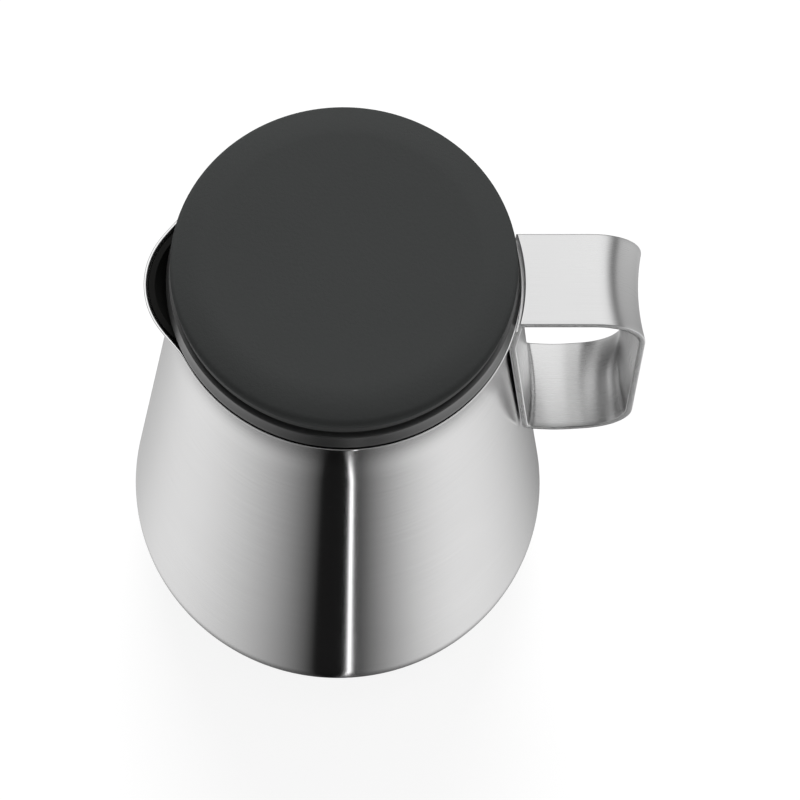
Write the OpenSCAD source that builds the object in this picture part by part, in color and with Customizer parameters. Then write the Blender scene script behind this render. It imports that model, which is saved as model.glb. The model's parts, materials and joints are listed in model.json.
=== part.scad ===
// Insulated jug: a steel shell with a pouring spout and a band handle, a double-walled glass
// liner, and a lift-off stopper whose lid is turned to raise a valve.
// The origin is the middle of the base on the jug's axis, +Z up, the handle towards +X and the
// spout towards -X. All lengths are in millimetres.

/* [Body shell] */
// Height of the steel rim above the table
rim_z = 215; // [205:1:235]
// Outer radius of the rim
rim_r = 54.2; // [54:0.1:56]
// How far the cone's line, drawn on to rim height, lies inside the rim
neck_tuck = 4; // [3.5:0.1:4.4]
// Radius of the hollow curve between cone and rim
neck_round = 110; // [95:1:125]
// Outer radius of the belly at its widest
belly_r = 75; // [74:0.5:78]
// Height of the widest place above the table
belly_z = 32; // [31.5:0.5:36]
// Rounding radius of the belly above the base
belly_round = 30; // [28:0.5:31]
// How far the shell's lower edge lies inside the belly
foot_tuck = 15; // [12:0.5:15]
// Thickness of the shell's steel
shell_wall = 0.8; // [0.7:0.1:0.9]
// Width of the polished edge of the rim
rim_width = 1; // [1:0.1:1.3]
// Depth of the polished edge of the rim
rim_depth = 1.6; // [1.2:0.1:2]

/* [Spout] */
// Distance of the spout's lip from the jug's axis
spout_reach = 61.4; // [60:0.2:63]
// Radius of the spout's lip seen from above
spout_lip_r = 25.3; // [24:0.1:27]
// Depth over which the spout grows out of the neck
spout_drop = 35; // [32:1:38]
// Lean of the spout's wall at the lip, in degrees
spout_lean = 28; // [24:1:30]

/* [Handle] */
// Width of the steel band
band_w = 30.4; // [24:0.2:32]
// Thickness of the steel band
band_t = 2.2; // [1.8:0.1:2.5]
// Height of the handle's top face above the rim
handle_lift = 3; // [2.4:0.1:4]
// Distance of the grip's outer face from the jug's axis, under the top plate
handle_reach = 91.2; // [86:0.2:96]
// How much farther out the grip stands at its lower end
handle_splay = 3.8; // [2:0.2:6]
// Depth of the handle's lowest face below the rim
handle_drop = 89.6; // [86:0.2:96]
// How far the grip's edges stand out beyond its middle
grip_dish = 1.6; // [1:0.2:4]
// Bend radius between the top plate and the grip
top_bend = 15; // [10:0.5:16]
// Bend radius between the grip and the bottom stretch
low_bend = 16.5; // [12:0.5:17.5]
// Height of the upper stud above the table
stud_top_z = 182; // [180:0.5:183]
// Height difference between the two studs
stud_pitch = 30; // [26:0.5:31]
// Radius of the studs
stud_r = 2.5; // [2:0.1:2.8]

/* [Liner] */
// Gap between the shell's inside and the liner, beside the liner's shoulder
liner_gap = 3; // [2.6:0.2:5]
// Width of the liner's mouth outside the collar's bore
liner_lip_w = 7.5; // [7:0.1:8.5]
// Depth of the liner's mouth below the rim
mouth_drop = 25; // [24:0.5:27]
// Length of the liner's straight neck
liner_neck_l = 24; // [22:0.5:26]
// Height of the liner's bottom above the table
liner_floor_z = 20; // [18:0.5:24]
// Thickness of each glass wall
glass_t = 1.5; // [1.2:0.1:1.6]
// Width of the empty space between the two glass walls
vacuum_w = 3.5; // [3:0.1:3.8]
// Rounding radius of the liner's bottom
liner_round = 40; // [34:1:44]

/* [Base] */
// Thickness of the soft pad that the jug stands on
pad_t = 1.6; // [1.2:0.1:2]
// Height of the pad's face below the base cup's edge
pad_proud = 0.5; // [0.3:0.1:0.8]
// Distance of the pad's edge from the shell's lower edge
pad_inset = 8; // [7:0.5:12]
// Thickness of the base cup's floor
base_t = 2.5; // [2:0.1:3]

/* [Lid] */
// Gap between the lid's skirt and the rim
lid_gap = 1.6; // [0.8:0.1:2]
// Outer radius of the lid below its rounded edge
lid_r = 52.6; // [52:0.1:53]
// How much wider the lid is at the lower edge of its flared foot
lid_flare = 1.8; // [1:0.1:2]
// Height of the flared foot
lid_foot_h = 5.6; // [4:0.2:7]
// Height of the lid from its lower edge to the flat top
lid_h = 17.5; // [17:0.1:20]
// Radius of the flat middle of the lid
lid_flat_r = 40.5; // [38:0.5:42]
// Radius of the soft shoulder round the flat middle
shoulder_round = 26; // [22:0.5:32]
// Radius of the lid's rounded edge
edge_round = 2.8; // [2.4:0.1:3.4]
// Wall thickness of the lid
lid_wall = 2.4; // [2:0.1:2.6]

/* [Stopper and valve] */
// Outer radius of the stopper's tube
stopper_r = 30.4; // [30:0.1:30.8]
// Wall thickness of the stopper's tube
stopper_wall = 3; // [2.8:0.1:3.2]
// Depth of the stopper's lower end below the rim
stopper_drop = 37; // [36.5:0.1:38]
// Outer radius of the stopper's flange
flange_r = 40; // [38:0.5:41]
// Radius of the valve's port
port_r = 17; // [16:0.2:18]
// Lift of the valve between shut and open
valve_lift = 5; // [4:0.1:5.2]
// Turn of the lid between shut and open, in degrees
lid_turn = 90; // [75:1:95]
// Radius of the follower pin
pin_r = 1.2; // [1:0.1:1.3]

/* [Hidden] */

// Colours of the pieces
steel = [0.74, 0.74, 0.75];
bright_steel = [0.84, 0.84, 0.85];
soft_black = [0.17, 0.175, 0.175];
deep_black = [0.06, 0.06, 0.065];
seal_grey = [0.35, 0.36, 0.37];
mirror_glass = [0.86, 0.88, 0.9];
foam_white = [0.9, 0.89, 0.85];

// Clearances and the overrun that serves all cuts
static_gap = 0.1;
move_gap = 0.3;
thread_gap = 0.05;
over = 1;
smooth = 96;
small_smooth = 32;

// The shell's side: a line from inside the rim that just touches the belly's rounding
belly_c = [belly_r - belly_round, belly_z];
cone_top = [rim_r - neck_tuck, rim_z];
cone_run = norm(belly_c - cone_top);
cone_angle = atan2(belly_c.y - cone_top.y, belly_c.x - cone_top.x) + asin(belly_round / cone_run);
cone_dir = [cos(cone_angle), sin(cone_angle)];
cone_out = [-sin(cone_angle), cos(cone_angle)];
cone_lean = 90 + cone_angle;

// The hollow neck curve: it touches that line and ends at the rim
neck_h = neck_tuck * cone_out.x;
neck_s = sqrt(2 * neck_round * neck_h - neck_h * neck_h);
neck_touch = [rim_r, rim_z] - cone_out * neck_h + cone_dir * neck_s;
neck_c = neck_touch + cone_out * neck_round;
foot_r = belly_r - foot_tuck;
foot_z = belly_z - sqrt(pow(belly_round, 2) - pow(foot_r - belly_c.x, 2));

// The spout's wall: a trumpet round an upright axis of its own
spout_x = spout_reach - spout_lip_r;
spout_z = rim_z - spout_drop;
spout_curve = spout_drop / sin(spout_lean);
spout_root_r = spout_lip_r - spout_curve * (1 - cos(spout_lean));

// Pouring collar
collar_wall = 1.6;
collar_top_drop = 0.8;
collar_foot_drop = 20;
collar_floor_drop = 11;
collar_floor_t = 2.5;
collar_tube_wall = 2.4;
bore_gap = 1.6;
seal_t = 1.5;
collar_inset = rim_width + static_gap;
collar_top_z = rim_z - collar_top_drop;
collar_foot_z = rim_z - collar_foot_drop;
collar_floor_z = rim_z - collar_floor_drop;
bore_r = stopper_r + bore_gap;

// Glass liner
shoulder_out_r = 30;
shoulder_in_r = 20;
lip_t = 2;
lip_round = 0.9;
inner_inset = glass_t + vacuum_w;
tip_r = 3;
tip_end_r = 1.5;
tip_l = 7;
mouth_z = rim_z - mouth_drop;
liner_neck_r = bore_r + liner_lip_w;
liner_r = cone_r(mouth_z - liner_neck_l - shoulder_out_r) - shell_wall / cone_out.x - liner_gap;
neck_in_c = [liner_neck_r + shoulder_in_r, mouth_z - liner_neck_l];
shoulder_dx = liner_neck_r + shoulder_in_r - (liner_r - shoulder_out_r);
shoulder_dz = sqrt(pow(shoulder_out_r + shoulder_in_r, 2) - pow(shoulder_dx, 2));
neck_out_c = [liner_r - shoulder_out_r, neck_in_c.y - shoulder_dz];
shoulder_angle = atan2(shoulder_dz, shoulder_dx);
dome_c = [liner_r - liner_round, liner_floor_z + liner_round];
pad_count = 3;
pad_angle = 10;
pad_h = 12;
pad_rise = 45;

// Base
base_edge_gap = 0.15;
base_bevel = 3.4;
upstand_t = 2;
upstand_h = 5.5;
ring_rise = 1;
ring_h = 6;
cradle_in_r = 16;
cradle_out_r = 36;
cradle_rim_t = 1.8;
cradle_rim_h = 5;
tip_cap_r = 8;
tip_cap_wall = 4.4;
tip_cap_clear = 2;
base_floor_z = pad_t + base_t;
pad_r = foot_r - pad_inset;
shell_in_foot_r = line_r(shell_wall, foot_z);
upstand_r = shell_in_foot_r - move_gap;
liner_tip_z = liner_floor_z - tip_l;

// Handle
seat_gap = 0.1;
seat_wrap_top = 1.4;
seat_wrap_low = 0.3;
band_edge_round = 0.7;
corner_bend = 1.6;
waist_bend = 20;
sag_bend = 25;
seat_bend = 3.5;
waist_drop = 16;
seat_foot_rise = 2;
sag_x_share = 0.26;
low_corner_rise = 4.6;
dish_start_share = 0.4;
edge_slot = 1.5;
slot_depth = 2.4;
plate_w = 14;
plate_t = 1.5;
plate_margin = 7;
nut_h = 4;
nut_flat = 8;
stud_tail = 1.5;

// Stopper, lid and valve
groove_drop = 15;
groove_h = 4;
groove_d = 1.5;
gasket_gap = 0.3;
flange_t = 2.5;
seat_t = 2.5;
ledge_drop = 17;
ledge_t = 2;
ledge_w = 1.2;
hub_r = 15;
hub_top_drop = 10.5;
hub_low_drop = 23.5;
key_plate_t = 2.5;
arm_count = 3;
arm_w = 6;
arm_t = 3;
spider_ring_w = 2.2;
sleeve_r = 8.5;
sleeve_bore_r = 5.6;
sleeve_shoulder_r = 10.4;
sleeve_shoulder_t = 1.4;
sleeve_flange_r = 13;
sleeve_flange_t = 1.5;
slot_clear = 0.5;
slot_overlap_angle = 17;
retainer_lip_t = 2;
screw_count = 3;
screw_r = 1.1;
screw_head_r = 2;
screw_head_t = 1.3;
screw_l = 8;
insert_rise = 2.4;
insert_t = 2;
insert_rim_t = 1.8;
insert_rim_h = 3;
insert_gap = 0.3;
boss_r = 4;
boss_place_r = 36;
lid_screw_r = 1.4;
lid_screw_head_r = 3;
lid_screw_head_t = 1.6;
lid_screw_l = 7;
foam_top_gap = 1.6;
stem_w = 7;
stem_top_drop = 0.5;
pin_rest_drop = 4.5;
pin_end_gap = 0.3;
plug_disc_t = 2.5;
plug_disc_r = 21;
plug_boss_r = 13.8;
plug_boss_l = 3.5;
valve_seal_t = 1.9;
valve_seal_r = 21.5;
valve_seal_gap = 0.2;
valve_screw_r = 1.4;
valve_screw_head_r = 3.2;
valve_screw_head_t = 1.4;
valve_screw_l = 14;

flange_z = collar_floor_z + move_gap;
flange_top_z = flange_z + flange_t;
stopper_z = rim_z - stopper_drop;
seat_z = stopper_z + seat_t;
tube_in_r = stopper_r - stopper_wall;
groove_z = rim_z - groove_drop - groove_h;
ledge_z = rim_z - ledge_drop;
hub_top_z = rim_z - hub_top_drop;
hub_low_z = rim_z - hub_low_drop;
hub_bore_r = sleeve_r + move_gap;
retainer_bore_r = sleeve_shoulder_r + move_gap;
retainer_lip_z = hub_top_z + sleeve_shoulder_t + 2 * move_gap;
retainer_top_z = retainer_lip_z + retainer_lip_t;
screw_place_r = (retainer_bore_r + hub_r) / 2;
skirt_z = rim_z + lid_gap;
lid_foot_z = skirt_z + lid_foot_h;
lid_top_z = skirt_z + lid_h;
insert_z = skirt_z + insert_rise;
insert_top_z = insert_z + insert_t;
shoulder_lid_angle = asin((lid_r - edge_round - lid_flat_r) / (shoulder_round - edge_round));
edge_c = [lid_r - edge_round,
    lid_top_z - shoulder_round + (shoulder_round - edge_round) * cos(shoulder_lid_angle)];
shoulder_c = [lid_flat_r, lid_top_z - shoulder_round];
insert_r = lid_r - lid_wall - insert_gap;
sleeve_low_z = hub_low_z + key_plate_t + move_gap;
pin_z = rim_z - pin_rest_drop;
stem_top_z = rim_z - stem_top_drop;
valve_seal_z = seat_z + move_gap;
plug_disc_z = valve_seal_z + valve_seal_t + static_gap;
plug_top_z = plug_disc_z + plug_disc_t;
plug_low_z = plug_disc_z - plug_boss_l;

function rev(v) = [for (i = [len(v) - 1 : -1 : 0]) v[i]];
function arc(c, r, a0, a1, n) =
    [for (i = [0 : n]) c + r * [cos(a0 + (a1 - a0) * i / n), sin(a0 + (a1 - a0) * i / n)]];

// Angle on the belly's rounding, moved in by inset, at height z
function belly_at(inset, z) = asin((z - belly_c.y) / (belly_round - inset));
// Angle on the neck curve, moved in by inset, at height z
function neck_at(inset, z) = 180 - asin((z - neck_c.y) / (neck_round + inset));
// Radius of the straight cone at height z
function cone_r(z) = cone_top.x + cone_dir.x * (z - cone_top.y) / cone_dir.y;
// Radius of the rounding below the cone at height z
function line_r(inset, z) = belly_c.x + (belly_round - inset) * cos(belly_at(inset, z));
// Radius of the neck curve at height z
function neck_r(inset, z) = neck_c.x + (neck_round + inset) * cos(neck_at(inset, z));
// The shell's side from z_hi on the neck down to z_lo on the rounding, moved in by inset
function body_line(inset, z_lo, z_hi) = concat(
    arc(neck_c, neck_round + inset, neck_at(inset, z_hi), 180 + cone_lean, 8),
    arc(belly_c, belly_round - inset, cone_lean, belly_at(inset, z_lo), 16));
// The neck curve alone, between two heights
function neck_line(inset, z_lo, z_hi) =
    arc(neck_c, neck_round + inset, neck_at(inset, z_hi), neck_at(inset, z_lo), 6);
// The trumpet's wall between two heights, moved in by inset
function spout_at(inset, z) = asin((z - spout_z) / (spout_curve + inset));
function spout_line(inset, z_lo, z_hi) = [for (i = [0 : 8])
    let (a = spout_at(inset, z_lo) + (spout_at(inset, z_hi) - spout_at(inset, z_lo)) * i / 8)
    [spout_root_r + spout_curve - (spout_curve + inset) * cos(a), spout_z + (spout_curve + inset) * sin(a)]];
// The liner's side from z_hi in the neck to the middle of its bottom, moved in by inset
function liner_line(inset, z_hi) = concat(
    [[liner_neck_r - inset, z_hi]],
    arc(neck_in_c, shoulder_in_r + inset, 180, 180 + shoulder_angle, 7),
    arc(neck_out_c, shoulder_out_r - inset, shoulder_angle, 0, 7),
    arc(dome_c, liner_round - inset, 0, -90, 14),
    [[0, liner_floor_z + inset]]);

module revolve(points) {
    rotate_extrude($fn = smooth) polygon(points);
}

module tube(r_out, r_in, z_lo, z_hi, detail = smooth) {
    translate([0, 0, z_lo]) difference() {
        cylinder(r = r_out, h = z_hi - z_lo, $fn = detail);
        translate([0, 0, -over]) cylinder(r = r_in, h = z_hi - z_lo + 2 * over, $fn = detail);
    }
}

module rod(r, z_lo, z_hi, detail = smooth) {
    translate([0, 0, z_lo]) cylinder(r = r, h = z_hi - z_lo, $fn = detail);
}

module round_axis(count, radius) {
    for (i = [0 : count - 1]) rotate([0, 0, 360 * i / count]) translate([radius, 0, 0]) children();
}

// All that lies inside the shell's side, moved in by inset, between two heights of the neck
module neck_fill(inset, z_lo, z_hi) {
    revolve(concat([[0, z_hi]], neck_line(inset, z_lo, z_hi), [[0, z_lo]]));
}

// All that lies inside the spout's wall
module spout_fill(inset, z_lo, z_hi) {
    translate([-spout_x, 0, 0])
        revolve(concat([[0, z_lo]], spout_line(inset, z_lo, z_hi), [[0, z_hi]]));
}

// Places its child on the cone's line on the handle's side, with +Z along the way out of it
module on_cone(z, out) {
    t = (z - cone_top.y) / cone_dir.y;
    p = cone_top + cone_dir * t + cone_out * out;
    translate([p.x, 0, p.y]) rotate([0, 90 - cone_lean, 0]) children();
}

module stud_places(out) {
    for (z = [stud_top_z, stud_top_z - stud_pitch]) on_cone(z, out) children();
}

module outer_shell() {
    color(steel) difference() {
        union() {
            revolve(concat(
                body_line(0, foot_z, rim_z),
                rev(body_line(shell_wall, foot_z, rim_z - rim_depth)),
                [[rim_r - rim_width, rim_z - rim_depth], [rim_r - rim_width, rim_z]]));
            difference() {
                spout_fill(0, spout_z, rim_z);
                neck_fill(shell_wall / 2, spout_z - over, rim_z + over);
            }
        }
        spout_fill(shell_wall, spout_z, rim_z - rim_depth);
        spout_fill(rim_width, rim_z - rim_depth - over, rim_z + over);
        stud_places(-shell_wall - over)
            cylinder(r = stud_r + move_gap, h = shell_wall + 2 * over, $fn = small_smooth);
    }
}

module pouring_collar() {
    room = collar_inset + collar_wall;
    color(deep_black) difference() {
        union() {
            neck_fill(collar_inset, collar_foot_z, collar_top_z);
            spout_fill(collar_inset, collar_foot_z, collar_top_z);
            rod(bore_r + collar_tube_wall, mouth_z + seal_t, collar_floor_z);
        }
        neck_fill(room, collar_floor_z, collar_top_z + over);
        spout_fill(room, collar_floor_z, collar_top_z + over);
        difference() {
            union() {
                neck_fill(room, collar_foot_z - over, collar_floor_z - collar_floor_t);
                spout_fill(room, collar_foot_z - over, collar_floor_z - collar_floor_t);
            }
            rod(bore_r + collar_tube_wall, collar_foot_z - 2 * over, rim_z);
        }
        rod(bore_r, mouth_z, rim_z);
    }
}

// Soft ring between the collar's tube and the liner's mouth
module collar_seal() {
    color(seal_grey)
        tube(bore_r + collar_tube_wall, bore_r, mouth_z + static_gap, mouth_z + seal_t - static_gap);
}

// Inner bottle, with the lip that joins it to the outer one
module liner_inner() {
    in_r = liner_neck_r - inner_inset - glass_t;
    color(mirror_glass) revolve(concat(
        liner_line(inner_inset + glass_t, mouth_z - lip_round),
        rev(liner_line(inner_inset, mouth_z - lip_t)),
        [[liner_neck_r, mouth_z - lip_t]],
        arc([liner_neck_r - lip_round, mouth_z - lip_round], lip_round, 0, 90, 4),
        arc([in_r + lip_round, mouth_z - lip_round], lip_round, 90, 170, 4)));
}

// Outer bottle, closed at the bottom by the tip where the air was drawn out
module liner_outer() {
    color(mirror_glass) union() {
        revolve(concat(
            liner_line(0, mouth_z - lip_t),
            rev(liner_line(glass_t, mouth_z - lip_t))));
        translate([0, 0, liner_tip_z])
            cylinder(r1 = tip_end_r, r2 = tip_r, h = tip_l + glass_t / 2, $fn = small_smooth);
    }
}

module spacer_pads() {
    r_out = liner_r - glass_t - static_gap;
    r_in = liner_r - inner_inset + static_gap;
    z = liner_floor_z + pad_rise;
    color(seal_grey) for (i = [0 : pad_count - 1]) rotate([0, 0, 360 * i / pad_count])
        rotate_extrude(angle = pad_angle, $fn = smooth)
            polygon([[r_in, z], [r_out, z], [r_out, z + pad_h], [r_in, z + pad_h]]);
}

module tip_cap() {
    color(seal_grey) difference() {
        rod(tip_cap_r, base_floor_z, liner_floor_z - static_gap, small_smooth);
        rod(tip_cap_r - tip_cap_wall, liner_tip_z - tip_cap_clear, liner_floor_z + over, small_smooth);
    }
}

// Soft ring under the liner, hollowed to its rounded bottom
module liner_cradle() {
    low = base_floor_z;
    dome_r = liner_round + static_gap;
    a0 = -acos((cradle_out_r - dome_c.x) / dome_r);
    a1 = -acos(max(cradle_in_r - dome_c.x, 0) / dome_r);
    color(seal_grey) revolve(concat(
        [[cradle_in_r, low], [cradle_out_r, low]],
        arc(dome_c, dome_r, a0, a1, 6),
        [[cradle_in_r, liner_floor_z - static_gap]]));
}

// Threaded ring bonded inside the shell above its lower edge
module base_ring() {
    hug = shell_wall + static_gap;
    low = foot_z + ring_rise;
    color(deep_black) revolve(concat(
        [[shell_in_foot_r, low]],
        arc(belly_c, belly_round - hug, belly_at(hug, low), belly_at(hug, low + ring_h), 5),
        [[shell_in_foot_r, low + ring_h]]));
}

// Screw-in base that holds the liner up against the collar
module base_cup() {
    edge_z = foot_z - base_edge_gap;
    color(deep_black) revolve([
        [0, pad_t],
        [pad_r + static_gap, pad_t],
        [pad_r + static_gap, pad_proud],
        [foot_r - base_bevel, pad_proud],
        [foot_r - static_gap, edge_z],
        [upstand_r, edge_z],
        [upstand_r, edge_z + upstand_h],
        [upstand_r - upstand_t, edge_z + upstand_h],
        [upstand_r - upstand_t, base_floor_z],
        [cradle_out_r + static_gap + cradle_rim_t, base_floor_z],
        [cradle_out_r + static_gap + cradle_rim_t, base_floor_z + cradle_rim_h],
        [cradle_out_r + static_gap, base_floor_z + cradle_rim_h],
        [cradle_out_r + static_gap, base_floor_z],
        [0, base_floor_z]]);
}

module base_pad() {
    color(seal_grey) rod(pad_r, 0, pad_t);
}

// Corners of the band's middle line, seen from the side, and the radius of each bend
handle_top_z = rim_z + handle_lift - band_t / 2;
handle_low_z = rim_z - handle_drop + band_t / 2;
seat_out = seat_gap + band_t / 2;
waist_z = rim_z - waist_drop;
seat_foot_z = handle_low_z + seat_foot_rise;
seat_foot_x = cone_r(seat_foot_z) + seat_out / cone_out.x;
grip_top_x = handle_reach - band_t / 2;
grip_low_x = grip_top_x + handle_splay;
band_corners = [
    [rim_r + seat_out, handle_top_z],
    [neck_r(0, waist_z) + seat_out, waist_z],
    [seat_foot_x, seat_foot_z],
    [seat_foot_x + (grip_low_x - seat_foot_x) * sag_x_share, handle_low_z],
    [grip_low_x, handle_low_z + low_corner_rise],
    [grip_top_x, handle_top_z]];
band_bends = [corner_bend, waist_bend, seat_bend, sag_bend, low_bend, top_bend];
bend_steps = [4, 4, 5, 4, 10, 10];

function unit(v) = v / norm(v);
// Points and outward normals round corner i of a closed line that turns left
function bend(i) =
    let (n = len(band_corners), p0 = band_corners[(i + n - 1) % n], p1 = band_corners[i])
    let (p2 = band_corners[(i + 1) % n], u1 = unit(p1 - p0), u2 = unit(p2 - p1))
    let (turn = acos(u1 * u2), c = p1 - u1 * band_bends[i] * tan(turn / 2) + [-u1.y, u1.x] * band_bends[i])
    let (a = atan2(-u1.x, u1.y))
    [for (k = [0 : bend_steps[i]]) let (w = a + turn * k / bend_steps[i])
        [c + band_bends[i] * [cos(w), sin(w)], [cos(w), sin(w)]]];
band_path = [for (i = [0 : len(band_corners) - 1]) each bend(i)];

// Section of the band: across its width and through its thickness, with eased edges
band_half = band_w / 2;
across_steps = 6;
function across(s, o) = [for (k = [0 : across_steps])
    [s * (band_half - band_edge_round) * (2 * k / across_steps - 1), o]];
band_section = concat(
    across(1, band_t / 2),
    [[band_half, band_t / 2 - band_edge_round], [band_half, band_edge_round - band_t / 2]],
    across(-1, -band_t / 2),
    [[-band_half, band_edge_round - band_t / 2], [-band_half, band_t / 2 - band_edge_round]]);

// The edges of the grip stand out, and the seat wraps a little round the body
dish_x = band_corners[1].x + (grip_top_x - band_corners[1].x) * dish_start_share;
function ease(t) = let (u = max(0, min(1, t))) u * u * (3 - 2 * u);
function seat_wrap(z) = seat_wrap_low
    + (seat_wrap_top - seat_wrap_low) * max(0, min(1, (z - seat_foot_z) / (handle_top_z - seat_foot_z)));
function cup(x, z) = grip_dish * ease((x - dish_x) / (grip_top_x - dish_x))
    - seat_wrap(z) * (1 - ease((x - seat_foot_x) / (dish_x - seat_foot_x)));
function band_point(st, q) =
    let (p = st[0] + st[1] * q.y)
    [p.x + cup(st[0].x, st[0].y) * pow(q.x / band_half, 2), q.x, p.y];

module handle_band() {
    n = len(band_path);
    m = len(band_section);
    points = [for (st = band_path) for (q = band_section) band_point(st, q)];
    faces = [for (i = [0 : n - 1]) for (j = [0 : m - 1])
        let (a = i * m + j, b = i * m + (j + 1) % m)
        let (c = ((i + 1) % n) * m + (j + 1) % m, d = ((i + 1) % n) * m + j)
        each [[a, b, c], [a, c, d]]];
    color(bright_steel) difference() {
        polyhedron(points = points, faces = faces, convexity = 6);
        rod(rim_r + edge_slot, rim_z - slot_depth, rim_z + handle_lift + over);
    }
}

// Depth by which a flat plate stands off the middle of the hollow wall behind it
plate_sink = pow(plate_w / 2, 2) / (2 * (rim_r - shell_wall)) + static_gap;
stud_l = shell_wall + plate_t + plate_sink + nut_h + stud_tail;

module handle_studs() {
    color(bright_steel) stud_places(-stud_l) cylinder(r = stud_r, h = stud_l, $fn = small_smooth);
}

module backing_plate() {
    face = -shell_wall - plate_sink - plate_t;
    len_x = (stud_pitch + 2 * plate_margin) / cos(cone_lean);
    mid_z = stud_top_z - stud_pitch / 2;
    color(steel) difference() {
        on_cone(mid_z, face) translate([-len_x / 2, -plate_w / 2, 0]) cube([len_x, plate_w, plate_t]);
        stud_places(face - over)
            cylinder(r = stud_r + move_gap, h = plate_t + 2 * over, $fn = small_smooth);
    }
}

module handle_nuts() {
    face = -shell_wall - plate_sink - plate_t - nut_h;
    color(bright_steel) stud_places(face) difference() {
        cylinder(r = nut_flat / sqrt(3), h = nut_h, $fn = 6);
        translate([0, 0, -over])
            cylinder(r = stud_r + thread_gap, h = nut_h + 2 * over, $fn = small_smooth);
    }
}

module stopper_body() {
    color(soft_black) difference() {
        union() {
            tube(stopper_r, tube_in_r, stopper_z, flange_top_z);
            tube(flange_r, tube_in_r, flange_z, flange_top_z);
            tube(stopper_r, port_r, stopper_z, seat_z);
            tube(stopper_r - static_gap, tube_in_r - ledge_w, ledge_z - ledge_t, ledge_z);
        }
        tube(stopper_r + over, stopper_r - groove_d, groove_z, groove_z + groove_h);
    }
}

module stopper_gasket() {
    color(seal_grey) tube(bore_r - gasket_gap, stopper_r - groove_d + static_gap,
        groove_z + static_gap, groove_z + groove_h - static_gap);
}

module spider_ring() {
    r_out = tube_in_r - static_gap;
    tube(r_out, r_out - spider_ring_w, ledge_z, hub_top_z);
}

// Carries the lid's sleeve and keeps the valve's stem from turning
module guide_spider() {
    arm_l = tube_in_r - static_gap - spider_ring_w / 2;
    color(deep_black) difference() {
        union() {
            spider_ring();
            rod(hub_r, hub_low_z, hub_top_z);
            for (i = [0 : arm_count - 1]) rotate([0, 0, 360 * i / arm_count])
                translate([0, -arm_w / 2, hub_top_z - arm_t]) cube([arm_l, arm_w, arm_t]);
        }
        rod(hub_bore_r, hub_low_z + key_plate_t, hub_top_z + over);
        translate([0, 0, hub_low_z])
            cube([stem_w + 2 * move_gap, stem_w + 2 * move_gap, 2 * key_plate_t + over], center = true);
        rotate([0, 0, 180 / screw_count]) round_axis(screw_count, screw_place_r)
            rod(screw_r + thread_gap, retainer_top_z - screw_l, hub_top_z + over, small_smooth);
    }
}

module hub_retainer() {
    color(deep_black) difference() {
        union() {
            tube(hub_r, retainer_bore_r, hub_top_z, retainer_lip_z);
            tube(hub_r, hub_bore_r, retainer_lip_z, retainer_top_z);
        }
        rotate([0, 0, 180 / screw_count]) round_axis(screw_count, screw_place_r)
            rod(screw_r + static_gap, hub_top_z - over, retainer_top_z + over, small_smooth);
    }
}

module retainer_screws() {
    color(bright_steel) rotate([0, 0, 180 / screw_count]) round_axis(screw_count, screw_place_r) union() {
        rod(screw_r, retainer_top_z - screw_l + static_gap, retainer_top_z, small_smooth);
        rod(screw_head_r, retainer_top_z, retainer_top_z + screw_head_t, small_smooth);
    }
}

// The turning cap: a skirt, a rounded edge, a soft shoulder and a flat top
module lid_shell() {
    wall_r = lid_r - lid_wall;
    under_z = lid_top_z - lid_wall;
    in_round = shoulder_round - lid_wall;
    in_angle = asin((wall_r - lid_flat_r) / in_round);
    color(soft_black) difference() {
        union() {
            revolve(concat(
                [[0, under_z]],
                rev(arc(shoulder_c, in_round, 90 - in_angle, 90, 5)),
                [[wall_r, lid_foot_z], [wall_r + lid_flare, skirt_z]],
                [[lid_r + lid_flare, skirt_z], [lid_r, lid_foot_z]],
                arc(edge_c, edge_round, 0, 90 - shoulder_lid_angle, 8),
                arc(shoulder_c, shoulder_round, 90 - shoulder_lid_angle, 90, 6),
                [[0, lid_top_z]]));
            round_axis(screw_count, boss_place_r)
                rod(boss_r, insert_top_z, under_z + lid_wall / 2, small_smooth);
        }
        round_axis(screw_count, boss_place_r)
            rod(lid_screw_r + thread_gap, insert_z, insert_z + lid_screw_l + over, small_smooth);
    }
}

module lid_insert() {
    color(deep_black) difference() {
        union() {
            tube(insert_r, sleeve_r + static_gap, insert_z, insert_top_z);
            tube(insert_r, insert_r - insert_rim_t, insert_z, insert_top_z + insert_rim_h);
        }
        round_axis(screw_count, boss_place_r)
            rod(lid_screw_r + static_gap, insert_z - over, insert_top_z + over, small_smooth);
    }
}

module lid_foam() {
    foam_r = insert_r - insert_rim_t - move_gap;
    color(foam_white) difference() {
        rod(foam_r, insert_top_z + static_gap, lid_top_z - lid_wall - foam_top_gap);
        rod(sleeve_flange_r + move_gap, insert_top_z, insert_top_z + sleeve_flange_t + move_gap);
        round_axis(screw_count, boss_place_r) rod(boss_r + move_gap, insert_top_z, lid_top_z, small_smooth);
    }
}

module lid_screws() {
    color(bright_steel) round_axis(screw_count, boss_place_r) union() {
        rod(lid_screw_head_r, insert_z - lid_screw_head_t, insert_z, small_smooth);
        rod(lid_screw_r, insert_z, insert_z + lid_screw_l, small_smooth);
    }
}

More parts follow.
